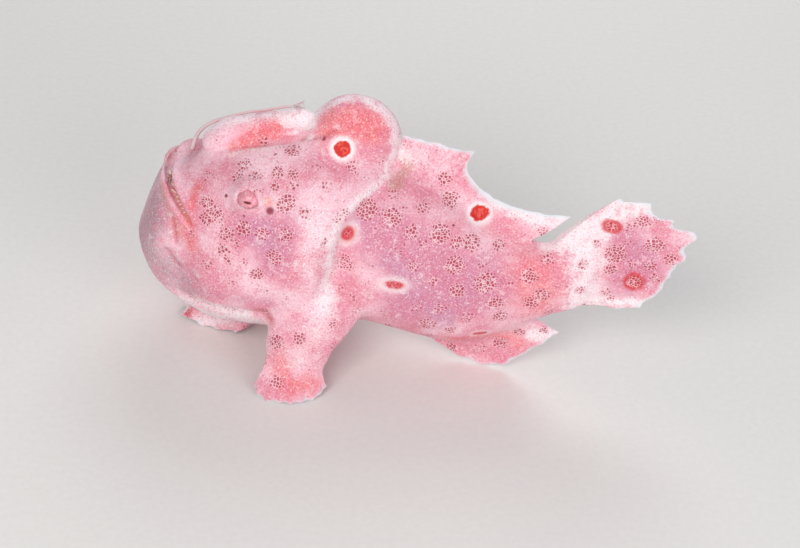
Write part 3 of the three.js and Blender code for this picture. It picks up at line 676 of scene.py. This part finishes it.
# Red blotches under rosettes: centre, core radii, width of a faint ring in mm, how white it is.
blotches = [
    ([3.9, -10.2, 30], [1.7, 1.7, 1.8], 0.8, 0.5),
    ([12.9, -12.7, 22], [2, 1.6, 0.9], 0.9, 0.55),
    ([48, -6.4, 35.2], [1.8, 1.8, 1.5], 0, 0),
    ([53.5, -6.7, 24.3], [1.9, 1.9, 2.1], 0, 0),
    ([28.7, -9.4, 11], [1.6, 1.6, 0.6], 0.6, 0.45),
]
pores = [  # centre, radius
    ([-16.7, -10.5, 34.7], 0.35),
    ([-9, -13.2, 34.7], 0.66),
    ([-13.2, -13.3, 33.2], 0.34),
    ([21.6, -7.3, 32], 0.26),
    ([24.2, -8.9, 28.9], 0.3),
    ([40.8, -6.5, 29.7], 0.22),
    ([7.7, -0.6, 49.4], 0.24),
    ([9.1, -1.1, 47.9], 0.28),
    ([18.6, -0.5, 42.8], 0.24),
    ([14, -1.4, 39.5], 0.25),
    ([-9.4, -5.5, 40.8], 0.3),
    ([-21.3, 0.9, 36.8], 0.3),
    ([-1.8, -4.3, 44.4], 0.5),
    ([-24.2, -11.4, 19.6], 0.3),
    ([45.8, -6.6, 17.9], 0.35),
]
# Rosettes of dark red dots on the left side: x, y, z, radius in mm, how strong they are.
rosettes = [
    [6.8, -8.6, 34.1, 2.1, 1], [10.9, -6.3, 36.3, 1.5, 0.5], [11.1, -9.1, 33.5, 2.1, 0.8],
    [16.2, -6.8, 34.7, 1.6, 0.6], [14.7, -9.9, 31.5, 1.8, 0.6], [19.5, -9, 31.2, 2.1, 1],
    [19.2, -2.4, 37.7, 1.5, 0.9], [20.6, -3.8, 34.8, 1.8, 0.9], [25, -8.1, 29.6, 1.8, 1],
    [22.6, -8.9, 29.7, 1.5, 0.8], [4.2, -12.1, 24.9, 1.8, 0.8], [8.5, -12.3, 25, 1, 0.4],
    [15.7, -11.9, 25.9, 1.2, 0.7], [19.3, -12, 23.2, 1.2, 0.7], [22.7, -10.7, 26.2, 1.9, 1],
    [28.2, -10.2, 22.9, 2.2, 1], [23.6, -11.6, 21.5, 1.6, 0.9], [30.4, -10.4, 18.9, 1.6, 0.9],
    [31.6, -10, 15.9, 1.5, 0.9], [26.2, -11.3, 15.6, 1.5, 0.6], [23.4, -11.1, 12.4, 1.3, 0.8],
    [20.9, -12.3, 17.8, 1.5, 0.6], [16.9, -12.6, 17.8, 1.5, 0.5], [7.9, -12.6, 21.5, 1, 0.5],
    [6.3, -13.3, 18.5, 1.2, 0.4], [3.9, -13.3, 20, 1.2, 0.4], [35.5, -9.1, 24.5, 1.8, 0.8],
    [36.5, -9.4, 19.1, 1.6, 0.8], [35.5, -6.3, 9.6, 1.3, 1], [27.2, -9.5, 26, 1.3, 0.5],
    [32.4, -9.5, 22.9, 1, 0.5], [13.2, -11.5, 28.6, 2.1, 0.4], [9.6, -10.1, 32, 1.5, 0.4],
    [17.2, -10.5, 29.5, 1.3, 0.5], [32.6, -5.5, 6.2, 1.8, 0.8], [38.1, -9.3, 21.1, 1.5, 1],
    [29.3, -5, 4.1, 1.8, 0.5], [31.6, -4.3, 32.4, 1.2, 0.4], [8.3, -3.7, 40.7, 1.2, 0.5],
    [12.9, -7.9, 34.7, 1.2, 0.5], [38.3, -7.6, 27.7, 1.5, 0.6], [49.5, -6.7, 29.7, 2, 1.1],
    [49.3, -6.9, 26.4, 1.3, 1], [55.6, -7.2, 32.8, 1.9, 1.1], [55.6, -7, 28.3, 1.3, 0.9],
    [57, -7.2, 25.9, 1.3, 0.8], [52.9, -6.7, 37.1, 1.7, 0.7], [46.1, -6.3, 31.3, 1, 0.7],
    [44.2, -6.2, 31.8, 1, 0.5], [49.1, -6.9, 21.3, 1.3, 0.7], [50.3, -6.4, 19.8, 0.8, 0.7],
    [58.8, -7.6, 30.5, 1.5, 0.8], [48, -6.4, 35.2, 1.3, 0.6],
    [53.5, -6.7, 24.3, 1.6, 0.8], [51.2, -6.5, 32.5, 1, 0.5], [52.4, -6.8, 28.1, 1, 0.7],
    [55.3, -7.1, 38.7, 1.3, 0.6], [51, -6.4, 35.7, 1.3, 0.6], [60, -7.6, 33.5, 1, 0.4],
    [-20, -10.2, 32.7, 1.3, 1], [-18.3, -11.8, 31.7, 1.8, 0.8], [-14.5, -6.7, 38.7, 1.5, 0.7],
    [-12.2, -9, 38.3, 1.5, 0.7], [-15.2, -8.4, 37.4, 1.5, 0.6], [-8.5, -8.6, 39.4, 1.3, 1],
    [-5.9, -8.8, 39.7, 1, 0.9], [-8.7, -10.5, 37.9, 1, 0.8], [-5.7, -10.3, 38.4, 0.9, 0.8],
    [-6.5, -12.4, 36, 1.8, 1], [-3.2, -13, 35.2, 1.2, 0.7], [-0.2, -9.9, 38.7, 1.3, 0.5],
    [-2.1, -7.2, 40.9, 1.2, 0.4], [-11.4, -11.6, 37.4, 1.3, 0.4], [-23.2, -0.4, 35.6, 1.5, 0.5],
    [-19.1, -1.7, 40.3, 1.3, 0.4], [-20.3, -6.8, 35.5, 1.3, 0.5], [-15.9, -13.7, 29.1, 1.5, 1],
    [-13.1, -14, 31, 1.5, 1], [-9.9, -14.6, 30.7, 1.3, 1], [-6.1, -14.8, 31.2, 1.3, 1],
    [-7.4, -15.7, 27.1, 1.5, 1], [-10.3, -15.9, 23.2, 1.4, 0.9], [-15.3, -15.1, 24.5, 1, 0.6],
    [-12.6, -15.5, 25, 1, 0.6], [-19, -14.2, 22.7, 1.3, 0.6], [-14.3, -15.7, 20.2, 1.3, 0.5],
    [-16.4, -14.4, 26.3, 1.3, 0.8], [-14.1, -14.6, 28, 0.8, 0.8], [-5.6, -16.3, 22.1, 1, 0.4],
    [-2.1, -17.7, 11.9, 1.3, 0.8], [-5.1, -16.3, 19, 1.2, 0.5], [-2.4, -16.5, 25.2, 1, 0.4],
    [-18.7, -14.2, 16.5, 1, 0.4], [-0.5, -15.2, 16.8, 1, 0.4], [-8.6, -16.1, 19.9, 1, 0.4],
    [-19.7, -11.7, 30.4, 1.5, 1],
]
# More of them, on both sides, where those leave a gap in mm.
rosetteFill = {"gap": 4.3, "radius": (0.9, 1.9), "strength": (0.35, 1), "tries": 9000}
midline = ([-9, 3, 15, 28, 42, 60], [0, 0, -1.6, -4, -5.8, -7.2])  # x, and y of the fish's bent middle there
centralMark = 3.4  # mm, a mark this near the middle has no fellow on the right
farAway = 3.0  # what a mark's attribute holds where there is no such mark
wander = {"ocelli": 1.6, "pores": 0.8}  # mm, how far the right side's marks lie from the left side's places


def fromMiddle(points):  # how far right of the fish's own middle
    return points[:, 1] - np.interp(points[:, 0], *midline)


def otherSide(points):
    mirrored = points.copy()
    mirrored[:, 1] -= 2 * fromMiddle(points)
    return mirrored


def foldedOver(points):  # both sides of the bent body on the left one
    return np.where((fromMiddle(points) > 0)[:, None], otherSide(points), points)


def onBothSides(marks, points, draw, reach):
    both = list(marks)  # and their fellows on the right, set a little elsewhere
    for mark in marks:
        centre = np.array([mark[0]])
        if abs(fromMiddle(centre)[0]) < centralMark:
            continue
        fellow = otherSide(centre)[0] + [draw.uniform(-reach, reach), 0, draw.uniform(-reach, reach)]
        nearest = points[np.argmin(np.linalg.norm(points - fellow, axis=1))]
        both.append((nearest, *mark[1:]))
    return both


def paintZones(skin, points):
    folded = foldedOver(points)
    middle = np.abs(fromMiddle(points))
    for name, lines in zones.items():
        bare = np.ones(len(points))
        for line, reach, strength in lines:
            bare *= 1 - np.clip(strength * np.exp(-((distanceTo(folded, line) / reach) ** 2)), 0, 1)
        if name == "pale":  # the crest of the back and of the spines
            crest = smoothStep(2.2, 0.5, middle) * smoothStep(37, 41, points[:, 2])
            bare *= 1 - 0.75 * crest * (points[:, 0] < 16)
        setAttribute(skin, name, 1 - bare)


def paintOcelli(skin, points, draw):
    ring = np.zeros(len(points))
    away = {}
    for name, marks in (("core", ocelli), ("blotchCore", blotches)):
        away[name] = np.full(len(points), farAway)
        for centre, core, width, whiteness in onBothSides(marks, points, draw, wander["ocelli"]):
            offset = points - centre
            away[name] = np.minimum(away[name], np.linalg.norm(offset / core, axis=1))
            outer = np.linalg.norm(offset / (np.array(core) + width), axis=1)
            ring = np.maximum(ring, whiteness * smoothStep(1.4, 0.7, outer))
        setAttribute(skin, name, away[name])
    setAttribute(skin, "ring", ring * smoothStep(0.6, 0.9, away["blotchCore"]))
    hole = np.full(len(points), farAway)
    for centre, radius in onBothSides(pores, points, draw, wander["pores"]):
        hole = np.minimum(hole, np.linalg.norm(points - centre, axis=1) / radius)
    setAttribute(skin, "pore", hole)
    return away["core"]


def paintRosettes(skin, points, edge, bare, draw):
    marks = list(rosettes)
    marks += [(*centre, max(core) * 0.9, 0.4) for centre, core, _, _ in blotches]
    centres = [mark[:3] for mark in marks]
    for _ in range(rosetteFill["tries"]):
        index = draw.randrange(len(points))
        point = points[index]
        apart = np.linalg.norm(np.array(centres) - point, axis=1).min()
        if apart > rosetteFill["gap"] and edge[index] > 2.2 and draw.random() > bare[index]:
            centres.append(point)
            radius = draw.uniform(*rosetteFill["radius"])
            marks.append((*point, radius, draw.uniform(*rosetteFill["strength"])))
    strengths = np.zeros(len(points))
    for x, y, z, radius, strength in marks:
        away = np.linalg.norm(points - (x, y, z), axis=1)
        strengths = np.maximum(strengths, strength * smoothStep(radius * 1.35, radius * 0.4, away))
    setAttribute(skin, "rosette", strengths * smoothStep(1.2, 1.8, edge))
    print("rosettes:", len(marks))


# What the material reads: the zones, "ring", "rosette" and "mouth" run from 0 to 1 or so, "core",
# "blotchCore" and "pore" hold the distance from a mark in radii, and "finRim" that from a fin's margin in mm.
skinMarks = [*zones, "finRim", "rosette", "core", "blotchCore", "ring", "pore", "mouth"]
paintSeed = 11


def paintSkin(skin, finTree):
    draw = random.Random(paintSeed)
    points = readPoints(skin)
    paintZones(skin, points)
    distance, facts = finPlaces(points, finTree)
    onFin = smoothStep(2, 0.9, distance)
    setAttribute(skin, "finRim", np.where(onFin > 0, facts[:, 1] + farAway * (1 - onFin), farAway))
    inMouth = smoothStep(mouth["half"] + 0.2, mouth["half"] - 0.15, gapeDistance(points))
    setAttribute(skin, "mouth", inMouth * smoothStep(-22, -23.4, points[:, 0]))
    edge = paintOcelli(skin, points, draw)
    bareness = smoothStep(-20, -24, points[:, 0])  # the jaw
    bareness = np.maximum(bareness, smoothStep(40.4, 42, points[:, 2]))  # the spines
    bareness = np.maximum(bareness, smoothStep(0.6, 0.8, facts[:, 0] * onFin))  # the fins' margins
    bareness = np.maximum(bareness, smoothStep(4, 1.5, points[:, 2]))  # near the floor
    paintRosettes(skin, points, edge, bareness, draw)


# --- materials


def linear(hexColour):  # sRGB hex to linear
    parts = [int(hexColour[i : i + 2], 16) / 255 for i in (1, 3, 5)]
    return tuple(c / 12.92 if c <= 0.04045 else ((c + 0.055) / 1.055) ** 2.4 for c in parts) + (1,)


def addNode(tree, kind, links, result=0, **settings):  # links give the sockets values or wires
    node = tree.nodes.new("ShaderNode" + kind)
    for key, value in settings.items():
        setattr(node, key, value)
    for socket, source in links.items():
        if isinstance(source, bpy.types.NodeSocket):
            tree.links.new(source, node.inputs[socket])
        else:
            node.inputs[socket].default_value = source
    return node.outputs[result]


def newMaterial(name):
    material = bpy.data.materials.new(name)
    material.use_nodes = True
    return material, material.node_tree, material.node_tree.nodes["Principled BSDF"]


# Frogfish skin: loose and soft, covered in tiny prickles, so it looks matt and velvety, lets a little light
# in, and shows its pigment in rosettes of dots between pale walls.
skinLook = {
    "light": "#F9CCD7",
    "deep": "#E893A6",
    "cell": 0.54,  # mm, from one dot of a rosette to the next
    "speckle": 0.29,  # mm, the prickles
    "grain": 0.9,  # mm
    "mottle": 7.5,  # mm
    "blotch": 1.9,  # mm
    # from and to, on a Map Range node's own sockets 1 and 2
    "deepShare": {1: 0.36, 2: 0.62},  # of the mottling
    "rosetteShare": {1: 0.42, 2: 1.15},
    "wallShare": {1: 0.19, 2: 0.1},  # from a dot towards the wall round it
    "coreShare": {1: 1.1, 2: 0.9},
    "fleckShare": {1: 0.46, 2: 0.62},
    "roughness": {1: 0.3, 2: 0.7, 3: 0.7, 4: 0.52},  # lower on the prickles
    "bump": 0.09,  # mm
    "lightIn": 0.22,  # how much light goes through the skin
    "lightColour": (1, 0.4, 0.3),
    "lightReach": 1.2,  # mm
    "colours": {
        "dusk": "#D47F9B",
        "warm": "#EE8F78",
        "tan": "#C2977F",
        "mauve": "#C48CAA",
        "salmon": "#EE7378",
        # deep red, used as painted shade in the creases and as the skin's own red on the pelvic toe
        "roseAndCreaseShade": "#C4384C",
        # cool grey of painted shade, for skin turned away from the light
        "greyTurnedAwayShade": "#B3929E",
        "pale": "#FFF2F4",
        "cloud": "#FFE0E6",
        "flush": "#DD708A",
        "deepest": "#D4738A",
        "white": "#FFF6F5",
        "lace": "#FCE2E6",
        "prickle": "#CC4A62",
        "dot": "#B02C40",
        "ocellus": "#D5251E",
        "ocellusPale": "#F0705E",
        "blotchRed": "#D22C34",
        "margin": "#DEE4E8",
        "pore": "#942C42",
        "mouth": "#D89078",
    },
}
# The skin's coats from the lowest up: the mark or pattern that places it, the values between which it sets
# in, how much of it there is at most, and its colour.
coats = [
    ("dusk", 0.85, 1.6, 0.9, "dusk"),
    ("warm", 0.92, 1.8, 0.75, "warm"),
    ("tan", 0.95, 1.7, 0.55, "tan"),
    ("mauve", 0.92, 1.8, 0.55, "mauve"),
    ("salmon", 0.92, 1.75, 0.85, "salmon"),
    # partly painted shade in the creases
    ("roseAndCreaseShade", 1, 1.75, 0.8, "roseAndCreaseShade"),
    # painted shade where the skin turns away from the light
    ("greyTurnedAwayShade", 0.92, 1.7, 0.8, "greyTurnedAwayShade"),
    ("pale", 0.95, 1.75, 0.82, "pale"),
    ("blotch", 0.53, 0.74, 0.55, "cloud"),
    ("blotch", 0.47, 0.28, 0.42, "flush"),
    ("speckle", 0.52, 0.7, 0.52, "white"),
    ("speckle", 0.47, 0.3, 0.44, "prickle"),
    ("rosette", 0, 1, 0.34, "deepest"),
    ("blotchCore", 1.5, 1, 0.88, "blotchRed"),
    ("lace", 0.1, 0.9, 0.66, "lace"),
    ("holes", 0.37, 0.61, 0.84, "dot"),
    ("ring", 0, 1, 0.85, "white"),
    ("core", 1.34, 1.12, 1, "ocellus"),
    ("corePale", 0.05, 0.6, 0.55, "ocellusPale"),
    ("rim", 2.3, 1.1, 0.85, "margin"),
    ("pore", 1.35, 0.6, 0.95, "pore"),
    ("mouth", 0, 1, 0.95, "mouth"),
]


smooth = {"interpolation_type": "SMOOTHSTEP"}


def skinMaterial():
    material, tree, shader = newMaterial("frogfishSkin")
    where = addNode(tree, "TexCoord", {}, "Object")
    where = addNode(tree, "Mapping", {"Vector": where, "Scale": (1 / mm, 1 / mm, 1 / mm)})
    field = {}
    for name, detail in (("mottle", 3), ("blotch", 4), ("grain", 2), ("speckle", 2)):
        links = {"Vector": where, "Scale": 1 / skinLook[name], "Detail": detail, "Roughness": 0.6}
        field[name] = addNode(tree, "TexNoise", links, "Fac")
    links = {"Vector": where, "Scale": 1 / skinLook["cell"], "Randomness": 0.85}
    walls = addNode(tree, "TexVoronoi", links, "Distance", feature="DISTANCE_TO_EDGE")
    for name in skinMarks:
        field[name] = addNode(tree, "Attribute", {}, "Fac", attribute_name=name)
    # the zones' edges are broken up by the prickles and the blotches
    links = {0: field["speckle"], 1: 0.6, 2: field["blotch"]}
    uneven = addNode(tree, "Math", links, operation="MULTIPLY_ADD")
    for name in zones:
        field[name] = addNode(tree, "Math", {0: field[name], 1: uneven}, operation="ADD")
    # rosettes run out raggedly; their walls are pale and the cells between them dark, smaller at the edge
    links = {0: field["grain"], 1: 0.7, 2: field["rosette"]}
    spread = addNode(tree, "Math", links, operation="MULTIPLY_ADD")
    field["rosette"] = addNode(tree, "MapRange", {0: spread, **skinLook["rosetteShare"]}, **smooth)
    broken = addNode(tree, "Math", {0: field["speckle"], 1: 0.14, 2: walls}, operation="MULTIPLY_ADD")
    narrow = addNode(tree, "MapRange", {0: broken, **skinLook["wallShare"]}, **smooth)
    field["lace"] = addNode(tree, "Math", {0: narrow, 1: field["rosette"]}, operation="MULTIPLY")
    links = {0: field["rosette"], 1: 0.3, 2: broken}
    field["holes"] = addNode(tree, "Math", links, operation="MULTIPLY_ADD")
    for name in ("core", "blotchCore"):
        links = {0: field["grain"], 1: 0.5, 2: field[name]}
        field[name] = addNode(tree, "Math", links, operation="MULTIPLY_ADD")
    within = addNode(tree, "MapRange", {0: field["core"], **skinLook["coreShare"]}, **smooth)
    flecks = addNode(tree, "MapRange", {0: field["grain"], **skinLook["fleckShare"]}, **smooth)
    field["corePale"] = addNode(tree, "Math", {0: within, 1: flecks}, operation="MULTIPLY")
    links = {0: field["blotch"], 1: 1.4, 2: field["finRim"]}
    field["rim"] = addNode(tree, "Math", links, operation="MULTIPLY_ADD")
    share = addNode(tree, "MapRange", {0: field["mottle"], **skinLook["deepShare"]}, **smooth)
    links = {0: share, 6: linear(skinLook["light"]), 7: linear(skinLook["deep"])}
    colour = addNode(tree, "Mix", links, 2, data_type="RGBA")
    for name, low, high, most, over in coats:
        links = {0: field[name], 1: low, 2: high, 4: most}
        share = addNode(tree, "MapRange", links, **smooth)
        links = {0: share, 6: colour, 7: linear(skinLook["colours"][over])}
        colour = addNode(tree, "Mix", links, 2, data_type="RGBA")
    tree.links.new(colour, shader.inputs["Base Color"])
    links = {0: field["speckle"], **skinLook["roughness"]}
    tree.links.new(addNode(tree, "MapRange", links), shader.inputs["Roughness"])
    relief = addNode(tree, "Math", {0: walls, 1: 0.6, 2: field["speckle"]}, operation="MULTIPLY_ADD")
    bump = addNode(tree, "Bump", {"Height": relief, "Strength": 0.5, "Distance": skinLook["bump"] * mm})
    tree.links.new(bump, shader.inputs["Normal"])
    shader.inputs["Subsurface Weight"].default_value = skinLook["lightIn"]
    shader.inputs["Subsurface Radius"].default_value = skinLook["lightColour"]
    shader.inputs["Subsurface Scale"].default_value = skinLook["lightReach"] * mm
    return material


# Matt pale paper: no shine, and a faint tooth.
floorLook = {"colours": ("#E6E3DE", "#EFEDE9"), "tooth": 900, "roughness": 0.9}  # tooth: grains in a metre


def floorMaterial():
    material, tree, shader = newMaterial("paperSweep")
    where = addNode(tree, "TexCoord", {}, "Object")
    tooth = addNode(tree, "TexNoise", {"Vector": where, "Scale": floorLook["tooth"], "Detail": 3}, "Fac")
    low, high = floorLook["colours"]
    links = {0: tooth, 6: linear(low), 7: linear(high)}
    tree.links.new(addNode(tree, "Mix", links, 2, data_type="RGBA"), shader.inputs["Base Color"])
    shader.inputs["Roughness"].default_value = floorLook["roughness"]
    return material


# Fish eye under a clear, wet cornea: the iris carries the skin's own colours in broken rays round a slit.
eyeLook = {
    "iris": "#E58FA0",
    "pupil": "#7A1524",
    "slit": (0.66, 0.25),  # mm, half its length and half its height
    "slitShare": {1: 1.2, 2: 0.8},  # from outside to inside, in its own measure
    "rays": [(0.49, 0.7, "#F8DADA"), (0.45, 0.3, "#E07C74")],  # where in the noise they set in, and colour
    "rayScale": 2.6,
    "rayChange": (0.35, 0.35, 0),  # how much a ray changes along its length
}


def eyeMaterial():
    material, tree, shader = newMaterial("eyeUnderCornea")
    across = addNode(tree, "Attribute", {}, "Fac", attribute_name="eyeAcross")
    up = addNode(tree, "Attribute", {}, "Fac", attribute_name="eyeUp")
    flat = addNode(tree, "CombineXYZ", {0: across, 1: up})
    turn = addNode(tree, "VectorMath", {0: flat}, operation="NORMALIZE")
    turn = addNode(tree, "VectorMath", {0: flat, 1: eyeLook["rayChange"], 2: turn}, operation="MULTIPLY_ADD")
    links = {"Vector": turn, "Scale": eyeLook["rayScale"], "Detail": 4, "Roughness": 0.65}
    rays = addNode(tree, "TexNoise", links, "Fac")
    colour = linear(eyeLook["iris"])
    for low, high, over in eyeLook["rays"]:
        share = addNode(tree, "MapRange", {0: rays, 1: low, 2: high}, **smooth)
        colour = addNode(tree, "Mix", {0: share, 6: colour, 7: linear(over)}, 2, data_type="RGBA")
    wide, high = eyeLook["slit"]
    scaled = addNode(tree, "VectorMath", {0: flat, 1: (1 / wide, 1 / high, 1)}, operation="MULTIPLY")
    slit = addNode(tree, "VectorMath", {0: scaled}, "Value", operation="LENGTH")
    share = addNode(tree, "MapRange", {0: slit, **eyeLook["slitShare"]}, **smooth)
    links = {0: share, 6: colour, 7: linear(eyeLook["pupil"])}
    tree.links.new(addNode(tree, "Mix", links, 2, data_type="RGBA"), shader.inputs["Base Color"])
    shader.inputs["Roughness"].default_value = 0.35
    shader.inputs["Coat Weight"].default_value = 0.4
    shader.inputs["Coat Roughness"].default_value = 0.1
    return material


# Tooth enamel is smooth and a little glassy, warm at the root. The lure is thin wet skin that light comes
# through. Both shade from one colour to the other in patches of the given grain in mm.
enamelLook = {"colours": ("#F6D6C4", "#FFF0E6"), "grain": 0.8, "roughness": 0.35, "light": 0}
lureLook = {"colours": ("#D9B9BE", "#F3E2E0"), "grain": 2.5, "roughness": 0.5, "light": 0.3}
thinReach = 0.6  # mm, how far light spreads in them


def patchyMaterial(name, look):
    material, tree, shader = newMaterial(name)
    where = addNode(tree, "TexCoord", {}, "Object")
    links = {"Vector": where, "Scale": 1 / (look["grain"] * mm), "Detail": 3}
    patches = addNode(tree, "TexNoise", links, "Fac")
    low, high = look["colours"]
    links = {0: patches, 6: linear(low), 7: linear(high)}
    tree.links.new(addNode(tree, "Mix", links, 2, data_type="RGBA"), shader.inputs["Base Color"])
    shader.inputs["Roughness"].default_value = look["roughness"]
    shader.inputs["Subsurface Weight"].default_value = look["light"]
    shader.inputs["Subsurface Scale"].default_value = thinReach * mm
    return material


# --- eyes, teeth and lure


def makeEye(name, side, material):  # the eye's values are for the left side
    mirror = (1, -side, 1)
    axis = Vector(np.array(eye["axis"]) * mirror)
    bpy.ops.object.select_all(action="DESELECT")
    bpy.ops.mesh.primitive_uv_sphere_add(segments=48, ring_count=32, radius=eye["radius"] * mm)
    ball = bpy.context.object
    ball.name = name
    across, up, _ = (readVertices(ball, "co") / mm).T
    setAttribute(ball, "eyeAcross", across)
    setAttribute(ball, "eyeUp", up)
    ball.rotation_mode = "QUATERNION"
    ball.rotation_quaternion = axis.normalized().to_track_quat("Z", "Y")
    ball.location = place(*np.array(eye["centre"]) * mirror)
    bpy.ops.object.transform_apply(location=True, rotation=True, scale=True)
    bpy.ops.object.shade_smooth()
    ball.data.materials.append(material)
    return ball


teeth = {
    "count": 20,  # in a row
    "height": 1.1,  # mm
    "heights": (0.5, 1.1),  # shares of it
    "radius": 0.24,
    "tip": 0.03,
    "apart": 0.14,  # mm, from the crack's middle to either row
    "throat": [-21.5, 0, 28],  # the rows curve round this place
    "ahead": [-0.66, 0, 0.75],  # from there to the middle of the lips
    "spread": 74,  # degrees to either side
    "wobble": 1.8,  # degrees
    "crack": 0.22,  # mm, how near the crack's line its bottom lies
    "front": -22.8,  # x, no tooth behind this
    "stand": 0.55,  # share of its height, from the skin to its middle
    "seed": 3,
}


def makeTeeth(skin, material):  # two rows at the bottom of the mouth's crack, from corner to corner
    draw = random.Random(teeth["seed"])
    points, normals = readPoints(skin), readVertices(skin, "normal")
    inCrack = (gapeDistance(points) < teeth["crack"]) & (points[:, 0] < teeth["front"])
    points, normals = points[inCrack], normals[inCrack]
    offset = points - teeth["throat"]
    turns = np.degrees(np.arctan2(offset[:, 1], offset @ teeth["ahead"]))
    cones = []
    for row in (-1, 1):
        for number in range(teeth["count"]):
            turn = teeth["spread"] * (2 * number / (teeth["count"] - 1) - 1)
            turn += draw.uniform(-teeth["wobble"], teeth["wobble"])
            near = np.abs(turns - turn) < 2.5
            if near.sum() < 3:
                continue
            lean = Vector(normals[near].mean(axis=0)).normalized()
            angle = math.radians(turn)
            along = Vector((math.sin(angle) * teeth["ahead"][0], math.cos(angle), 0))
            above = lean.cross(along).normalized()
            height = teeth["height"] * draw.uniform(*teeth["heights"]) * mm
            root = place(*points[near].mean(axis=0)) + above * row * teeth["apart"] * mm
            bpy.ops.mesh.primitive_cone_add(
                vertices=8,
                radius1=teeth["radius"] * mm,
                radius2=teeth["tip"] * mm,
                depth=height,
                location=root + lean * height * teeth["stand"],
                rotation=lean.to_track_quat("Z", "Y").to_euler(),
            )
            cones.append(bpy.context.object)
    piece = joined(cones, "teeth")
    bpy.ops.object.transform_apply(location=True, rotation=True, scale=True)
    bpy.ops.object.shade_smooth()
    piece.data.materials.append(material)
    return piece


lure = {
    "stalk": [[-24.3, 1.6, 34.7], [-23, 2.6, 38.2], [-17.8, 3.5, 41.3], [-12, 3.8, 43.2], [-7.6, 3.7, 44.7]],
    "thick": [0.42, 0.34, 0.26, 0.22, 0.24],  # mm, radius at each of those places
    "filaments": 11,
    "length": 2.6,  # mm
    "lengths": (0.6, 1),  # shares of it
    "hair": 0.13,  # mm, radius of a filament at its root
    "taper": (1, 0.9, 0.65, 0.25),  # shares of it, out to the tip
    "onward": 0.7,  # how much the tuft points on along the stalk
    "open": 0.6,  # how much it opens
    "seed": 5,
}


def makeStrand(path, radii):  # a round tapering strand through places
    bpy.ops.curve.primitive_bezier_curve_add(location=(0, 0, 0))
    strand = bpy.context.object
    spline = strand.data.splines[0]
    spline.bezier_points.add(len(path) - 2)
    for knot, point, radius in zip(spline.bezier_points, path, radii):
        knot.co = place(*point)
        knot.handle_left_type = knot.handle_right_type = "AUTO"
        knot.radius = radius
    strand.data.bevel_depth = mm
    strand.data.bevel_resolution = 3
    strand.data.resolution_u = 8
    strand.data.use_fill_caps = True
    selectOnly(strand)
    bpy.ops.object.convert(target="MESH")
    return bpy.context.object


def makeLure(material):
    draw = random.Random(lure["seed"])
    strands = [makeStrand(lure["stalk"], lure["thick"])]
    tip = np.array(lure["stalk"][-1])
    for number in range(lure["filaments"]):
        turn = 2 * math.pi * number / lure["filaments"] + draw.uniform(-0.2, 0.2)
        way = np.array([lure["onward"], lure["open"] * math.cos(turn), lure["open"] * math.sin(turn)])
        way /= np.linalg.norm(way)
        length = lure["length"] * draw.uniform(*lure["lengths"])
        path = [tip - way * 0.15]
        for step in (0.35, 0.7, 1):
            curl = np.array([0, draw.uniform(-0.3, 0.3), draw.uniform(-0.3, 0.1) - 0.25 * step])
            path.append(tip + way * length * step + curl * length * step * 0.5)
        strands.append(makeStrand(path, [lure["hair"] * share for share in lure["taper"]]))
    piece = joined(strands, "lurePiece")
    weldCorners(outwards=True)
    bpy.ops.object.shade_smooth()
    piece.data.materials.clear()
    piece.data.materials.append(material)
    return piece


# --- build

makeCamera()
makeLights()
makeFloor(floorMaterial())
draw = random.Random(finForm["seed"])
sheets = [finSheet(fin, side, draw) for fin in fins.values() for side in fin["sides"]]
finTree = makeFinTree(sheets)
skin = makeSkin(finTree, sheets)
teethRow = makeTeeth(skin, patchyMaterial("toothEnamel", enamelLook))
paintSkin(skin, finTree)
skin.data.materials.clear()
skin.data.materials.append(skinMaterial())
finNodes = [fin["node"] for fin in fins.values() if len(fin["sides"]) == 1]
for fin in fins.values():
    if len(fin["sides"]) > 1:
        finNodes += [fin["node"] + word for word in ("left", "right")]
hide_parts(*fleshNodes, *finNodes)
eyeball = eyeMaterial()
# the two names are exchanged: leftEye is the ball on the fish's right side
leftEye = makeEye("leftEye", rightSide, eyeball)
rightEye = makeEye("rightEye", leftSide, eyeball)
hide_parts("eye_left")
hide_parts("eye_right")
lurePiece = makeLure(patchyMaterial("lureFlesh", lureLook))
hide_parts("lure")
slots = ((skin, "skin"), (teethRow, "eye"), (leftEye, "eye"), (rightEye, "eye"), (lurePiece, "lure"))
for piece, slotName in slots:
    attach(piece, "root")
print("eyes, teeth and lure made")
